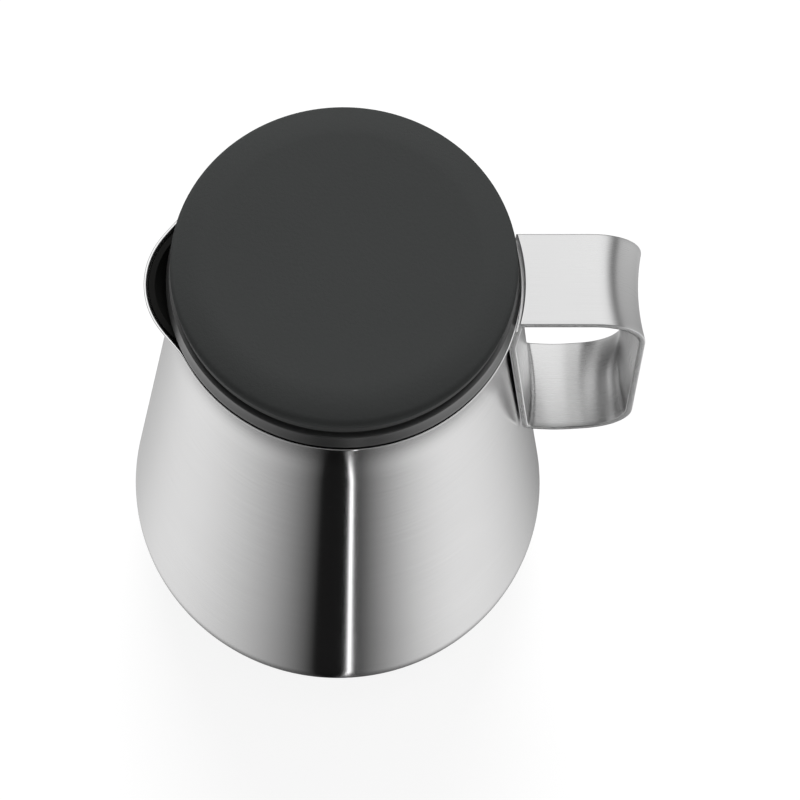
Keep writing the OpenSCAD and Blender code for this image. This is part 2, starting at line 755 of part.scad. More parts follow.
// Cutter for one helical slot: it climbs by the valve's lift over the lid's turn
module helical_slot() {
    steps = 20;
    r_in = sleeve_bore_r - over;
    r_out = sleeve_r + over;
    half = pin_r + slot_clear;
    rate = valve_lift / lid_turn;
    span = lid_turn + 2 * slot_overlap_angle;
    section = [[r_in, -half], [r_out, -half], [r_out, half], [r_in, half]];
    points = [for (i = [0 : steps]) let (a = -slot_overlap_angle + span * i / steps) for (s = section)
        [s.x * cos(-a), s.x * sin(-a), pin_z + rate * a + s.y]];
    sides = [for (i = [0 : steps - 1]) for (j = [0 : 3])
        let (a = 4 * i + j, b = 4 * i + (j + 1) % 4)
        each [[b, a, b + 4], [b + 4, a, a + 4]]];
    ends = [[0, 1, 2], [0, 2, 3], [for (k = [2, 1, 0]) 4 * steps + k], [for (k = [3, 2, 0]) 4 * steps + k]];
    polyhedron(points = points, faces = concat(sides, ends), convexity = 4);
}

// Sleeve that turns with the lid; its two helical slots lift the valve's pin
module cam_sleeve() {
    shoulder_z = hub_top_z + move_gap;
    color(seal_grey) difference() {
        union() {
            tube(sleeve_r, sleeve_bore_r, sleeve_low_z, insert_top_z + sleeve_flange_t);
            tube(sleeve_shoulder_r, sleeve_bore_r, shoulder_z, shoulder_z + sleeve_shoulder_t);
            tube(sleeve_flange_r, sleeve_bore_r, insert_top_z, insert_top_z + sleeve_flange_t);
        }
        for (turn = [0, 180]) rotate([0, 0, turn]) helical_slot();
    }
}

module valve_stem() {
    color(deep_black) difference() {
        translate([-stem_w / 2, -stem_w / 2, plug_top_z])
            cube([stem_w, stem_w, stem_top_z - plug_top_z]);
        translate([-stem_w, 0, pin_z]) rotate([0, 90, 0])
            cylinder(r = pin_r + thread_gap, h = 2 * stem_w, $fn = small_smooth);
        rod(valve_screw_r + thread_gap, plug_top_z - over, plug_low_z + valve_screw_l + over, small_smooth);
    }
}

module follower_pin() {
    pin_half = sleeve_r - pin_end_gap;
    color(bright_steel) translate([-pin_half, 0, pin_z]) rotate([0, 90, 0])
        cylinder(r = pin_r, h = 2 * pin_half, $fn = small_smooth);
}

module valve_plug() {
    color(deep_black) difference() {
        union() {
            rod(plug_boss_r, plug_low_z, plug_disc_z);
            rod(plug_disc_r, plug_disc_z, plug_top_z);
        }
        rod(valve_screw_r + static_gap, plug_low_z - over, plug_top_z + over, small_smooth);
    }
}

module valve_seal() {
    color(seal_grey)
        tube(valve_seal_r, plug_boss_r + valve_seal_gap, valve_seal_z, valve_seal_z + valve_seal_t);
}

module valve_screw() {
    color(bright_steel) union() {
        rod(valve_screw_head_r, plug_low_z - valve_screw_head_t, plug_low_z, small_smooth);
        rod(valve_screw_r, plug_low_z, plug_low_z + valve_screw_l, small_smooth);
    }
}

outer_shell();
pouring_collar();
collar_seal();
liner_inner();
liner_outer();
spacer_pads();
tip_cap();
liner_cradle();
base_ring();
base_cup();
base_pad();
handle_band();
handle_studs();
backing_plate();
handle_nuts();
stopper_body();
stopper_gasket();
guide_spider();
hub_retainer();
retainer_screws();
lid_shell();
lid_insert();
lid_foam();
lid_screws();
cam_sleeve();
valve_stem();
follower_pin();
valve_plug();
valve_seal();
valve_screw();
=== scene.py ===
"""Looks of an insulated jug: steel shell with a spout, band handle, soft-touch lid and stopper.

Lengths are in millimetres where a size field says so, and every mesh is made in metres, in the
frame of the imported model: +Z up, the handle towards +X, the spout towards -X.
"""
import json
import logging
import math
from dataclasses import dataclass, field
from enum import Enum
from typing import Callable, Iterable, Sequence, Union

import bmesh
import bpy
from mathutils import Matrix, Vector


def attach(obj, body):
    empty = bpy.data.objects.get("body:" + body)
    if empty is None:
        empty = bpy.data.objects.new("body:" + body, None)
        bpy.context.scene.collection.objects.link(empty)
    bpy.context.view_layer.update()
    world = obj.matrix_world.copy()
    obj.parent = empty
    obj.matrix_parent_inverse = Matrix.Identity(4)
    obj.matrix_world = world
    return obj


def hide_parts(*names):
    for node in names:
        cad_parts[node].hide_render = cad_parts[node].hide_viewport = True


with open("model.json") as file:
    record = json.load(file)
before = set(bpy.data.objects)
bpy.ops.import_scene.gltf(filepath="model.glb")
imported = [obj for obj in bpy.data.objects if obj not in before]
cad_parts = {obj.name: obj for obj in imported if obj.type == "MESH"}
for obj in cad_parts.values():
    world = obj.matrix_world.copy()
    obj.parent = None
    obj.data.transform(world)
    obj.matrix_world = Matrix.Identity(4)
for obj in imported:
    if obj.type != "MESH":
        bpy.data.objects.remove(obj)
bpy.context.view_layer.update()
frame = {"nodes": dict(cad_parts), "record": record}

MM = 0.001
MERGE_DISTANCE = 2e-6
SLIVER_LENGTH = 1e-7
SHARP_DEGREES = 34.0
TEXTURE_REACH = 0.1
LOG = logging.getLogger("insulated_jug")
Point2 = tuple[float, float]
Point3 = tuple[float, float, float]
Value = Union[float, "Expr"]


class Expr:
    """A node's output that takes part in Python arithmetic, one Math node per operation."""

    def __init__(self, nodes: "Nodes", socket: bpy.types.NodeSocket) -> None:
        """Wraps an output socket of the tree that nodes builds."""
        self.nodes = nodes
        self.socket = socket

    def math(self, operation: str, *values: Value) -> "Expr":
        """Adds a Math node with those values in its sockets, and gives its output."""
        made = self.nodes.node("ShaderNodeMath", {"operation": operation}, dict(enumerate(values)))
        return Expr(self.nodes, made.outputs[0])

    def __add__(self, other: Value) -> "Expr":
        """Sum."""
        return self.math("ADD", self, other)

    def __radd__(self, other: float) -> "Expr":
        """Sum with a number on the left."""
        return self.math("ADD", other, self)

    def __sub__(self, other: Value) -> "Expr":
        """Difference."""
        return self.math("SUBTRACT", self, other)

    def __rsub__(self, other: float) -> "Expr":
        """Difference from a number."""
        return self.math("SUBTRACT", other, self)

    def __mul__(self, other: Value) -> "Expr":
        """Product."""
        return self.math("MULTIPLY", self, other)

    def __rmul__(self, other: float) -> "Expr":
        """Product with a number on the left."""
        return self.math("MULTIPLY", other, self)

    def __truediv__(self, other: Value) -> "Expr":
        """Quotient."""
        return self.math("DIVIDE", self, other)

    def __rtruediv__(self, other: float) -> "Expr":
        """A number over this."""
        return self.math("DIVIDE", other, self)

    def __pow__(self, other: Value) -> "Expr":
        """Power."""
        return self.math("POWER", self, other)

    def __neg__(self) -> "Expr":
        """Opposite."""
        return self.math("MULTIPLY", self, -1.0)

    def __abs__(self) -> "Expr":
        """Size without its sign."""
        return self.math("ABSOLUTE", self)

    def at_least(self, other: Value) -> "Expr":
        """The larger of the two."""
        return self.math("MAXIMUM", self, other)

    def at_most(self, other: Value) -> "Expr":
        """The smaller of the two."""
        return self.math("MINIMUM", self, other)

    def of(self, operation: str) -> "Expr":
        """A Math operation on this alone, such as SQRT, SINE, COSINE or ROUND."""
        return self.math(operation, self)


class Nodes:
    """Adds nodes to one tree, settings first, then the values or links of its sockets."""

    def __init__(self, tree: bpy.types.NodeTree) -> None:
        """Keeps the tree."""
        self.tree = tree

    def node(self, kind: str, settings: dict[str, object] | None = None,
             values: dict[Union[int, str], object] | None = None) -> bpy.types.Node:
        """Adds one node.

        Args:
            kind: The node's type.
            settings: Its properties, such as a Math node's operation.
            values: Numbers, colours, expressions or outputs for its input sockets.

        Returns:
            The node.
        """
        made = self.tree.nodes.new(kind)
        for name, value in (settings or {}).items():
            setattr(made, name, value)
        self.feed_all(made, values or {})
        return made

    def feed(self, socket: bpy.types.NodeSocket, value: object) -> None:
        """Gives a socket its value or its link.

        Args:
            socket: An input socket.
            value: A number, a colour, an expression or an output.
        """
        source = value.socket if isinstance(value, Expr) else value
        if isinstance(source, bpy.types.NodeSocket):
            self.tree.links.new(source, socket)
        else:
            socket.default_value = source

    def feed_all(self, node: bpy.types.Node, values: dict[Union[int, str], object]) -> None:
        """Gives several sockets of a node their values or links."""
        for key, value in values.items():
            self.feed(node.inputs[key], value)

    @classmethod
    def emptied(cls, owner: Union[bpy.types.Material, bpy.types.World]) -> "Nodes":
        """Empties the tree of a material or a world.

        Args:
            owner: What the tree belongs to.

        Returns:
            A builder for the empty tree.
        """
        owner.use_nodes = True
        owner.node_tree.nodes.clear()
        return cls(owner.node_tree)

    def expr(self, kind: str, settings: dict[str, object] | None = None,
             values: dict[Union[int, str], object] | None = None, output: Union[int, str] = 0) -> Expr:
        """Adds a node and wraps one of its outputs."""
        return Expr(self, self.node(kind, settings, values).outputs[output])

    def place(self, kind: str = "Object") -> bpy.types.NodeSocket:
        """The place on the surface, in one of the kinds of texture coordinates."""
        return self.node("ShaderNodeTexCoord").outputs[kind]

    def split(self, vector: object) -> tuple[Expr, Expr, Expr]:
        """The three parts of a vector."""
        x, y, z = self.node("ShaderNodeSeparateXYZ", None, {0: vector}).outputs
        return Expr(self, x), Expr(self, y), Expr(self, z)

    def join(self, x: Value, y: Value, z: Value) -> Expr:
        """A vector from its three parts."""
        return self.expr("ShaderNodeCombineXYZ", None, {0: x, 1: y, 2: z})

    def blend(self, share: Value, first: object, second: object, way: str = "MIX") -> Expr:
        """Mixes two colours by a share, in one of the Mix node's ways."""
        return self.expr("ShaderNodeMix", {"data_type": "RGBA", "blend_type": way},
                         {0: share, 6: first, 7: second}, 2)

    def noise(self, vector: object, scale: float, detail: float = 2.0) -> Expr:
        """Noise from 0 to 1 on a vector in metres."""
        return self.expr("ShaderNodeTexNoise", None, {"Vector": vector, "Scale": scale, "Detail": detail})

    def ramp(self, value: Value, low: float, high: float) -> Expr:
        """Rises smoothly from 0 to 1 as value goes from low to high."""
        return self.expr("ShaderNodeMapRange", {"interpolation_type": "SMOOTHSTEP"},
                         {"Value": value, "From Min": low, "From Max": high})


def grey(level: float) -> tuple[float, float, float, float]:
    """A grey of that level, with its alpha. Level 1 is white."""
    return (level, level, level, 1.0)


class Lay(Enum):
    """The way that the brushing runs."""

    ROUND = "round the upright axis"
    ALONG = "along the piece's own length"
    TURNED = "in rings, as turned on a lathe"


@dataclass(frozen=True)
class Finish:
    """What every finish has: a name, a colour, a roughness, a relief and the detail of its main noise."""

    name: str
    colour: tuple[float, float, float]
    roughness: float
    relief_mm: float = 0.03
    relief_strength: float = 0.5
    detail: float = 3.0

    def rgba(self, level: float = 1.0) -> tuple[float, float, float, float]:
        """The colour at a level, with its alpha."""
        return (*(part * level for part in self.colour), 1.0)

    def make(self) -> bpy.types.Material:
        """Makes the material.

        Returns:
            A node material with this finish's colour, roughness and relief.
        """
        material = bpy.data.materials.new(self.name)
        material.use_nodes = True
        self.dress(Nodes(material.node_tree), material.node_tree.nodes["Principled BSDF"])
        return material

    def dress(self, nodes: Nodes, shader: bpy.types.Node) -> None:
        """Adds the finish's own nodes."""
        raise NotImplementedError

    def emboss(self, nodes: Nodes, shader: bpy.types.Node, height: Expr) -> None:
        """Feeds the finish's relief to the shader's normal.

        Args:
            nodes: The material's builder.
            shader: Its Principled shader.
            height: The relief, from 0 to 1.
        """
        relief = nodes.node("ShaderNodeBump", None, {"Height": height, "Distance": self.relief_mm * MM,
                                                      "Strength": self.relief_strength})
        nodes.feed(shader.inputs["Normal"], relief.outputs["Normal"])


@dataclass(frozen=True)
class BrushedSteel(Finish):
    """Steel with fine brushing that spreads a highlight across its lines, polished above a height."""

    lay: Lay = Lay.ROUND
    anisotropy: float = 0.0
    anisotropy_turn: float = 0.25
    line_mm: float = 0.16
    length_mm: float = 22.0
    tone_share: float = 0.06
    rough_share: float = 0.16
    cloud_scale: float = 26.0
    relief_mm: float = 0.012
    relief_strength: float = 0.25
    polished_above: float = math.inf
    polished_within: float = 0.1
    polished_tone: float = 0.95
    polished_roughness: float = 0.09

    def dress(self, nodes: Nodes, shader: bpy.types.Node) -> None:
        """Streaks in colour, roughness and relief.

        Args:
            nodes: The material's builder.
            shader: Its Principled shader.
        """
        across, along = 1 / (self.line_mm * MM), 1 / (self.length_mm * MM)
        x, y, z = nodes.split(nodes.place("UV" if self.lay is Lay.ALONG else "Object"))
        if self.lay is Lay.ALONG:
            fine = nodes.join(x * along, y * across, 0.0)
        elif self.lay is Lay.ROUND:
            fine = nodes.join(x * along, y * along, z * across)
        else:
            fine = nodes.join((x * x + y * y).of("SQRT") * across, z * across, 0.0)
        streak = nodes.noise(fine, 1.0, self.detail)
        cloud = nodes.noise(nodes.place(), self.cloud_scale)
        tone = 1.0 - self.tone_share + self.tone_share * 2.0 * streak
        tint = nodes.blend(1.0, self.rgba(), nodes.join(tone, tone, tone), "MULTIPLY")
        rough = self.roughness * (1.0 - self.rough_share + self.rough_share * (streak + cloud))
        if self.polished_above < math.inf:
            line = self.polished_above * MM
            share = nodes.ramp(nodes.split(nodes.place())[2], line, line + self.polished_within * MM)
            tint = nodes.blend(share, tint, grey(self.polished_tone))
            rough = rough * (1.0 - share) + self.polished_roughness * share
        nodes.feed_all(shader, {"Base Color": tint, "Roughness": rough, "Metallic": 1.0})
        if self.anisotropy:
            nodes.feed_all(shader, {"Anisotropic": self.anisotropy,
                                    "Anisotropic Rotation": self.anisotropy_turn})
        self.emboss(nodes, shader, streak)


@dataclass(frozen=True)
class SoftTouch(Finish):
    """Matt black coating with a fine leathery grain, smooth on the foot and duller on the upper edge."""

    grain_mm: float = 1.1
    fine_ratio: float = 3.6
    coarse_share: float = 0.7
    detail: float = 4.0
    relief_mm: float = 0.3
    patch_scale: float = 18.0
    tone_share: float = 0.08
    rough_drop: float = 0.05
    patch_rough: float = 0.06
    fine_rough: float = 0.05
    specular: float = 0.22
    smooth_below: float = 221.9
    smooth_within: float = 0.2
    smooth_roughness: float = 0.3
    smooth_ior: float = 1.9
    smooth_tone: float = 0.4
    edge_z: float = 229.9
    edge_full: float = 0.9
    edge_reach: float = 2.0
    edge_roughness: float = 1.0

    def dress(self, nodes: Nodes, shader: bpy.types.Node) -> None:
        """Grain of two sizes, patches of wear in the sheen, and a duller edge.

        Args:
            nodes: The material's builder.
            shader: Its Principled shader.
        """
        place = nodes.place()
        height = nodes.split(place)[2]
        coarse = nodes.noise(place, 1 / (self.grain_mm * MM), self.detail)
        fine = nodes.noise(place, self.fine_ratio / (self.grain_mm * MM))
        patch = nodes.noise(place, self.patch_scale)
        line = self.smooth_below * MM
        smooth = 1.0 - nodes.ramp(height, line, line + self.smooth_within * MM)
        off_edge = nodes.ramp(abs(height - self.edge_z * MM), self.edge_full * MM, self.edge_reach * MM)
        coat = nodes.blend(patch, self.rgba(1.0 - self.tone_share), self.rgba(1.0 + self.tone_share))
        rough = self.roughness - self.rough_drop + self.patch_rough * patch + self.fine_rough * fine
        nodes.feed_all(shader, {
            "Base Color": nodes.blend(smooth, coat, self.rgba(self.smooth_tone)),
            "Roughness": rough * off_edge + self.edge_roughness * (1.0 - off_edge),
            "Specular IOR Level": self.specular, "Coat Weight": smooth,
            "Coat Roughness": self.smooth_roughness, "Coat IOR": self.smooth_ior})
        self.emboss(nodes, shader, coarse * self.coarse_share + fine * (1.0 - self.coarse_share))


@dataclass(frozen=True)
class Moulded(Finish):
    """Moulded plastic or rubber with a spark-eroded grain."""

    grain_mm: float = 0.45
    flow_scale: float = 30.0
    specular: float = 0.5
    tone_share: float = 0.08
    rough_share: float = 0.04

    def dress(self, nodes: Nodes, shader: bpy.types.Node) -> None:
        """Grain in relief and roughness, faint flow marks in colour.

        Args:
            nodes: The material's builder.
            shader: Its Principled shader.
        """
        grain = nodes.noise(nodes.place(), 1 / (self.grain_mm * MM), self.detail)
        flow = nodes.noise(nodes.place(), self.flow_scale)
        nodes.feed_all(shader, {
            "Base Color": nodes.blend(flow, self.rgba(1 - self.tone_share), self.rgba(1 + self.tone_share)),
            "Roughness": self.roughness - self.rough_share + 2 * self.rough_share * grain,
            "Specular IOR Level": self.specular})
        self.emboss(nodes, shader, grain)


@dataclass(frozen=True)
class Silvered(Finish):
    """Glass with a bright coat of silver behind it, slightly wavy."""

    relief_mm: float = 0.2
    relief_strength: float = 0.15
    detail: float = 4.0
    wave_scale: float = 45.0
    tarnish_scale: float = 22.0
    tarnish_tone: float = 0.93
    tarnish_rough: float = 0.04

    def dress(self, nodes: Nodes, shader: bpy.types.Node) -> None:
        """Waves in the relief and a breath of tarnish.

        Args:
            nodes: The material's builder.
            shader: Its Principled shader.
        """
        tarnish = nodes.noise(nodes.place(), self.tarnish_scale, self.detail)
        nodes.feed_all(shader, {
            "Base Color": nodes.blend(tarnish, self.rgba(self.tarnish_tone), self.rgba()),
            "Roughness": self.roughness + self.tarnish_rough * tarnish, "Metallic": 1.0})
        self.emboss(nodes, shader, nodes.noise(nodes.place(), self.wave_scale))


FINISHES: dict[str, Finish] = {
    "shell_steel": BrushedSteel("round_brushed_steel", (0.76, 0.757, 0.757), 0.165, anisotropy=1.0,
                                line_mm=0.34, tone_share=0.09, relief_strength=0.35, polished_above=214.5),
    "handle_steel": BrushedSteel("long_brushed_steel", (0.84, 0.84, 0.84), 0.28, lay=Lay.ALONG,
                                 anisotropy=0.75, anisotropy_turn=0.0, relief_strength=0.12),
    "fastener_steel": BrushedSteel("turned_steel", (0.66, 0.66, 0.67), 0.3, lay=Lay.TURNED),
    "soft_black": SoftTouch("soft_touch_black", (0.0505, 0.053, 0.0525), 0.55),
    "deep_black": Moulded("moulded_black", (0.013, 0.013, 0.0125), 0.7, specular=0.12),
    "cam_grey": Moulded("moulded_grey", (0.3, 0.3, 0.31), 0.42),
    "seal_rubber": Moulded("silicone_seal", (0.1, 0.1, 0.105), 0.62, grain_mm=0.8, relief_mm=0.02),
    "silvered_glass": Silvered("silvered_glass", (0.86, 0.88, 0.9), 0.04),
    "foam": Moulded("closed_cell_foam", (0.85, 0.84, 0.8), 0.85, grain_mm=1.6, relief_mm=0.2,
                    specular=0.2),
}


class Palette:
    """The materials, one for each slot of the record, made once."""

    def __init__(self) -> None:
        """Starts empty."""
        self.made: dict[str, bpy.types.Material] = {}

    def get(self, slot: str) -> bpy.types.Material:
        """The material of a slot.

        Args:
            slot: One of the record's slots.

        Returns:
            Its material, made at the first call.
        """
        if slot not in self.made:
            self.made[slot] = FINISHES[slot].make()
        return self.made[slot]


def spread(start: float, end: float, count: int) -> list[float]:
    """Evenly spaced numbers from start to end, one more than count."""
    return [start + (end - start) * i / count for i in range(count + 1)]


def arc(centre: Point2, radius: float, start: float, end: float, count: int) -> list[Point2]:
    """Points on an arc from one angle to another, in degrees, one more than count."""
    angles = [math.radians(a) for a in spread(start, end, count)]
    return [(centre[0] + radius * math.cos(a), centre[1] + radius * math.sin(a)) for a in angles]


def fillet(corner: Point2, before: Point2, after: Point2, radius: float, count: int = 4) -> list[Point2]:
    """Rounds one corner of an outline.

    Args:
        corner: The sharp corner.
        before: The point before it.
        after: The point after it.
        radius: The rounding's radius.
        count: How many steps it takes.

    Returns:
        The points that stand for the corner.
    """
    c, a, b = Vector(corner), Vector(before), Vector(after)
    u, v = (a - c).normalized(), (b - c).normalized()
    half = u.angle(v) / 2
    reach = radius / math.tan(half)
    middle = c + (u + v).normalized() * (radius / math.sin(half))
    start, end = c + u * reach - middle, c + v * reach - middle
    spots = [(start * (1 - share) + end * share).normalized() * radius for share in spread(0.0, 1.0, count)]
    return [tuple(middle + spot) for spot in spots]


def tidy_mesh(mesh: bpy.types.Mesh, sharp_degrees: float = SHARP_DEGREES) -> None:
    """Merges doubles, turns faces outwards and shades smoothly between sharp edges.

    Args:
        mesh: The mesh to change.
        sharp_degrees: The angle from which an edge stays sharp.
    """
    work = bmesh.new()
    work.from_mesh(mesh)
    bmesh.ops.remove_doubles(work, verts=work.verts, dist=MERGE_DISTANCE)
    bmesh.ops.dissolve_degenerate(work, edges=work.edges, dist=SLIVER_LENGTH)
    bmesh.ops.recalc_face_normals(work, faces=work.faces)
    work.to_mesh(mesh)
    work.free()
    for polygon in mesh.polygons:
        polygon.use_smooth = True
    mesh.set_sharp_from_angle(angle=math.radians(sharp_degrees))


def brush_round_axis(mesh: bpy.types.Mesh, height: float) -> None:
    """Centres the mesh's own texture space on the upright axis, which the brushing runs round.

    Args:
        mesh: The mesh to change.
        height: Height of the texture space, in millimetres.
    """
    mesh.use_auto_texspace = False
    mesh.texspace_location = (0.0, 0.0, height * MM / 2)
    mesh.texspace_size = (TEXTURE_REACH, TEXTURE_REACH, height * MM / 2)


def stand(name: str, data: bpy.types.ID) -> bpy.types.Object:
    """Adds an object to the scene.

    Args:
        name: Its name.
        data: Its mesh, lamp or camera.

    Returns:
        The object, at the origin.
    """
    made = bpy.data.objects.new(name, data)
    bpy.context.scene.collection.objects.link(made)
    return made


def new_piece(name: str, mesh: bpy.types.Mesh, material: bpy.types.Material) -> bpy.types.Object:
    """An object at the origin with that mesh and material.

    Args:
        name: Its name.
        mesh: Its mesh, in metres.
        material: The only material on it.

    Returns:
        The object.
    """
    mesh.name = name
    mesh.materials.clear()
    mesh.materials.append(material)
    return stand(name, mesh)


def plain_mesh(piece: bpy.types.Object) -> bpy.types.Mesh:
    """The mesh that a piece's modifiers make of it."""
    graph = bpy.context.evaluated_depsgraph_get()
    return bpy.data.meshes.new_from_object(piece.evaluated_get(graph), depsgraph=graph)


class Tree:
    """A Geometry Nodes tree with named inputs, applied to one mesh at a time."""

    def __init__(self, name: str, inputs: Sequence[tuple[str, str]],
                 build: Callable[[Nodes, bpy.types.Node], bpy.types.NodeSocket]) -> None:
        """Builds the tree.

        Args:
            name: The tree's name.
            inputs: Names and socket types of its inputs after Geometry and Material.
            build: Adds the nodes and returns the geometry to finish.
        """
        self.group = bpy.data.node_groups.new(name, "GeometryNodeTree")
        face = self.group.interface
        face.new_socket(name="Geometry", in_out="OUTPUT", socket_type="NodeSocketGeometry")
        self.keys: dict[str, str] = {}
        given = (("Geometry", "NodeSocketGeometry"), ("Material", "NodeSocketMaterial"))
        for label, kind in (*given, *inputs):
            socket = face.new_socket(name=label, in_out="INPUT", socket_type=kind)
            self.keys[label] = socket.identifier
        nodes = Nodes(self.group)
        source = nodes.node("NodeGroupInput")
        shape = build(nodes, source)
        real = nodes.node("GeometryNodeRealizeInstances", None, {0: shape})
        dressed = nodes.node("GeometryNodeSetMaterial", None,
                             {"Geometry": real.outputs[0], "Material": source.outputs["Material"]})
        nodes.node("NodeGroupOutput", None, {0: dressed.outputs[0]})

    def apply(self, name: str, mesh: bpy.types.Mesh, material: bpy.types.Material,
              values: dict[str, float]) -> bpy.types.Object:
        """Runs the tree on a mesh.

        Args:
            name: Name of the piece.
            mesh: What goes in as Geometry.
            material: The finish.
            values: Values of the named inputs.

        Returns:
            A new object with the plain mesh that comes out.
        """
        seed = stand(name + "_seed", mesh)
        modifier = seed.modifiers.new("shape", "NODES")
        modifier.node_group = self.group
        modifier[self.keys["Material"]] = material
        for label, value in values.items():
            modifier[self.keys[label]] = value
        made = plain_mesh(seed)
        seed.modifiers.remove(modifier)
        bpy.data.objects.remove(seed)
        tidy_mesh(made)
        return new_piece(name, made, material)


BLEND_HEIGHT = 0.25
TURN_INPUTS = (("Steps", "NodeSocketInt"), ("Spout Distance", "NodeSocketFloat"),
               ("Spout Root Radius", "NodeSocketFloat"), ("Spout Curve Radius", "NodeSocketFloat"),
               ("Spout Foot Height", "NodeSocketFloat"), ("Blend Width", "NodeSocketFloat"))


def turned_wall(nodes: Nodes, source: bpy.types.Node) -> bpy.types.NodeSocket:
    """Turns a profile round the upright axis, and draws a trumpet-shaped spout out of it.

    Args:
        nodes: The tree's builder.
        source: The tree's input node.

    Returns:
        The turned surface.
    """
    profile = source.outputs["Geometry"]
    steps, distance, root, curve, foot, width = (
        Expr(nodes, source.outputs[label]) for label, _ in TURN_INPUTS)
    count = nodes.expr("GeometryNodeAttributeDomainSize", {"component": "MESH"},
                       {"Geometry": profile}, "Point Count")
    grid = nodes.node("GeometryNodeMeshGrid", None,
                      {"Size X": 1.0, "Size Y": 1.0, "Vertices X": count, "Vertices Y": steps + 1.0})
    across, round_share, _ = nodes.split(nodes.node("GeometryNodeInputPosition").outputs[0])
    row = ((across + 0.5) * (count - 1.0)).of("ROUND")
    turn = (round_share + 0.5) * math.tau

    def sampled(kind: str, value: object) -> Expr:
        """Reads a value of the profile's own points."""
        return nodes.expr("GeometryNodeSampleIndex", {"data_type": kind, "domain": "POINT"},
                          {"Geometry": profile, "Value": value, "Index": row})

    def named(name: str) -> Expr:
        """Reads a named value of the profile's own points."""
        found = nodes.node("GeometryNodeInputNamedAttribute", {"data_type": "FLOAT"}, {"Name": name})
        return sampled("FLOAT", found.outputs["Attribute"])

    radius, _, height = nodes.split(
        sampled("FLOAT_VECTOR", nodes.node("GeometryNodeInputPosition").outputs[0]))
    inset, spouted = named("inset"), named("spouted")
    cosine, sine = turn.of("COSINE"), turn.of("SINE")
    rise = (height - foot).at_least(0.0) / (curve + inset)
    mouth = root + curve - (curve + inset) * (1.0 - rise * rise).at_least(0.0).of("SQRT")
    side = distance * sine
    reach = (-cosine * distance + (mouth * mouth - side * side).at_least(0.0).of("SQRT")) * spouted
    close = (width - abs(radius - reach)).at_least(0.0) / width
    wall = radius.at_least(reach) + spouted * close * close * width * BLEND_HEIGHT
    place = nodes.join(wall * cosine, wall * sine, height)
    shaped = nodes.node("GeometryNodeSetPosition", None,
                        {"Geometry": grid.outputs["Mesh"], "Position": place})
    merged = nodes.node("GeometryNodeMergeByDistance", None,
                        {"Geometry": shaped.outputs[0], "Distance": MERGE_DISTANCE})
    return merged.outputs[0]


REPEAT_INPUTS = (("Count", "NodeSocketInt"), ("First Place", "NodeSocketVector"),
                 ("Step", "NodeSocketVector"), ("Turn Step", "NodeSocketFloat"), ("Lean", "NodeSocketFloat"))


def repeated_piece(nodes: Nodes, source: bpy.types.Node) -> bpy.types.NodeSocket:
    """Sets copies of a piece in a ring round the upright axis, or in a row.

    Args:
        nodes: The tree's builder.
        source: The tree's input node.

    Returns:
        The copies.
    """
    count, first, step, turn_step, lean = (source.outputs[label] for label, _ in REPEAT_INPUTS)
    number = nodes.expr("GeometryNodeInputIndex")
    turn = number * turn_step
    first_x, first_y, first_z = nodes.split(first)
    step_x, step_y, step_z = nodes.split(step)
    cosine, sine = turn.of("COSINE"), turn.of("SINE")
    place = nodes.join(first_x * cosine - first_y * sine + step_x * number,
                       first_x * sine + first_y * cosine + step_y * number, first_z + step_z * number)
    places = nodes.node("GeometryNodePoints", None, {"Count": count, "Position": place})
    copies = nodes.node("GeometryNodeInstanceOnPoints", None,
                        {"Points": places.outputs[0], "Instance": source.outputs["Geometry"],
                         "Rotation": nodes.join(0.0, Expr(nodes, lean), turn)})
    return copies.outputs[0]


def ringed_mesh(name: str, rings: Sequence[Sequence[Point3]], closed: bool = False) -> bpy.types.Mesh:
    """Joins rings of points, in millimetres, each to the next.

    Args:
        name: Name of the mesh.
        rings: The rings, all with the same number of points.
        closed: Whether the last ring joins the first, in place of two end faces.

    Returns:
        A closed mesh in metres.
    """
    size, total = len(rings[0]), len(rings)
    verts = [(x * MM, y * MM, z * MM) for ring in rings for x, y, z in ring]
    faces = []
    for i in range(total if closed else total - 1):
        here, after = i * size, (i + 1) % total * size
        faces += [(here + k, here + (k + 1) % size, after + (k + 1) % size, after + k) for k in range(size)]
    if not closed:
        faces += [tuple(reversed(range(size))), tuple(range((total - 1) * size, total * size))]
    made = bpy.data.meshes.new(name)
    made.from_pydata(verts, [], faces)
    return made


def round_ring(radius: float, z: float, count: int = 48) -> list[Point3]:
    """A ring of points on a circle."""
    return [(radius * math.cos(math.tau * k / count), radius * math.sin(math.tau * k / count), z)
            for k in range(count)]


def hex_ring(flat: float, z: float, most: float = math.inf, count: int = 48) -> list[Point3]:
    """A ring of points on a hexagon, cut off by a circle.

    Args:
        flat: The hexagon's width across its flats.
        z: The ring's height.
        most: The circle's radius.
        count: How many points it has.

    Returns:
        The points.
    """
    points = []
    for k in range(count):
        turn = math.tau * k / count
        reach = min(flat / 2 / math.cos((turn + math.pi / 6) % (math.pi / 3) - math.pi / 6), most)
        points.append((reach * math.cos(turn), reach * math.sin(turn), z))
    return points


@dataclass
class Spout:
    """The spout: a trumpet round an upright axis of its own. All lengths in millimetres."""

    reach: float = 60.9
    lip_radius: float = 25.3
    drop: float = 35.0
    lean: float = 28.0
    blend: float = 4.0

    def inputs(self, rim_z: float) -> dict[str, float]:
        """Works out the turning tree's spout inputs.

        Args:
            rim_z: Height of the rim.

        Returns:
            The inputs by name, in metres.
        """
        curve = self.drop / math.sin(math.radians(self.lean))
        root = self.lip_radius - curve * (1 - math.cos(math.radians(self.lean)))
        lengths = {"Spout Distance": self.reach - self.lip_radius, "Spout Root Radius": root,
                   "Spout Curve Radius": curve, "Spout Foot Height": rim_z - self.drop,
                   "Blend Width": self.blend}
        return {label: length * MM for label, length in lengths.items()}


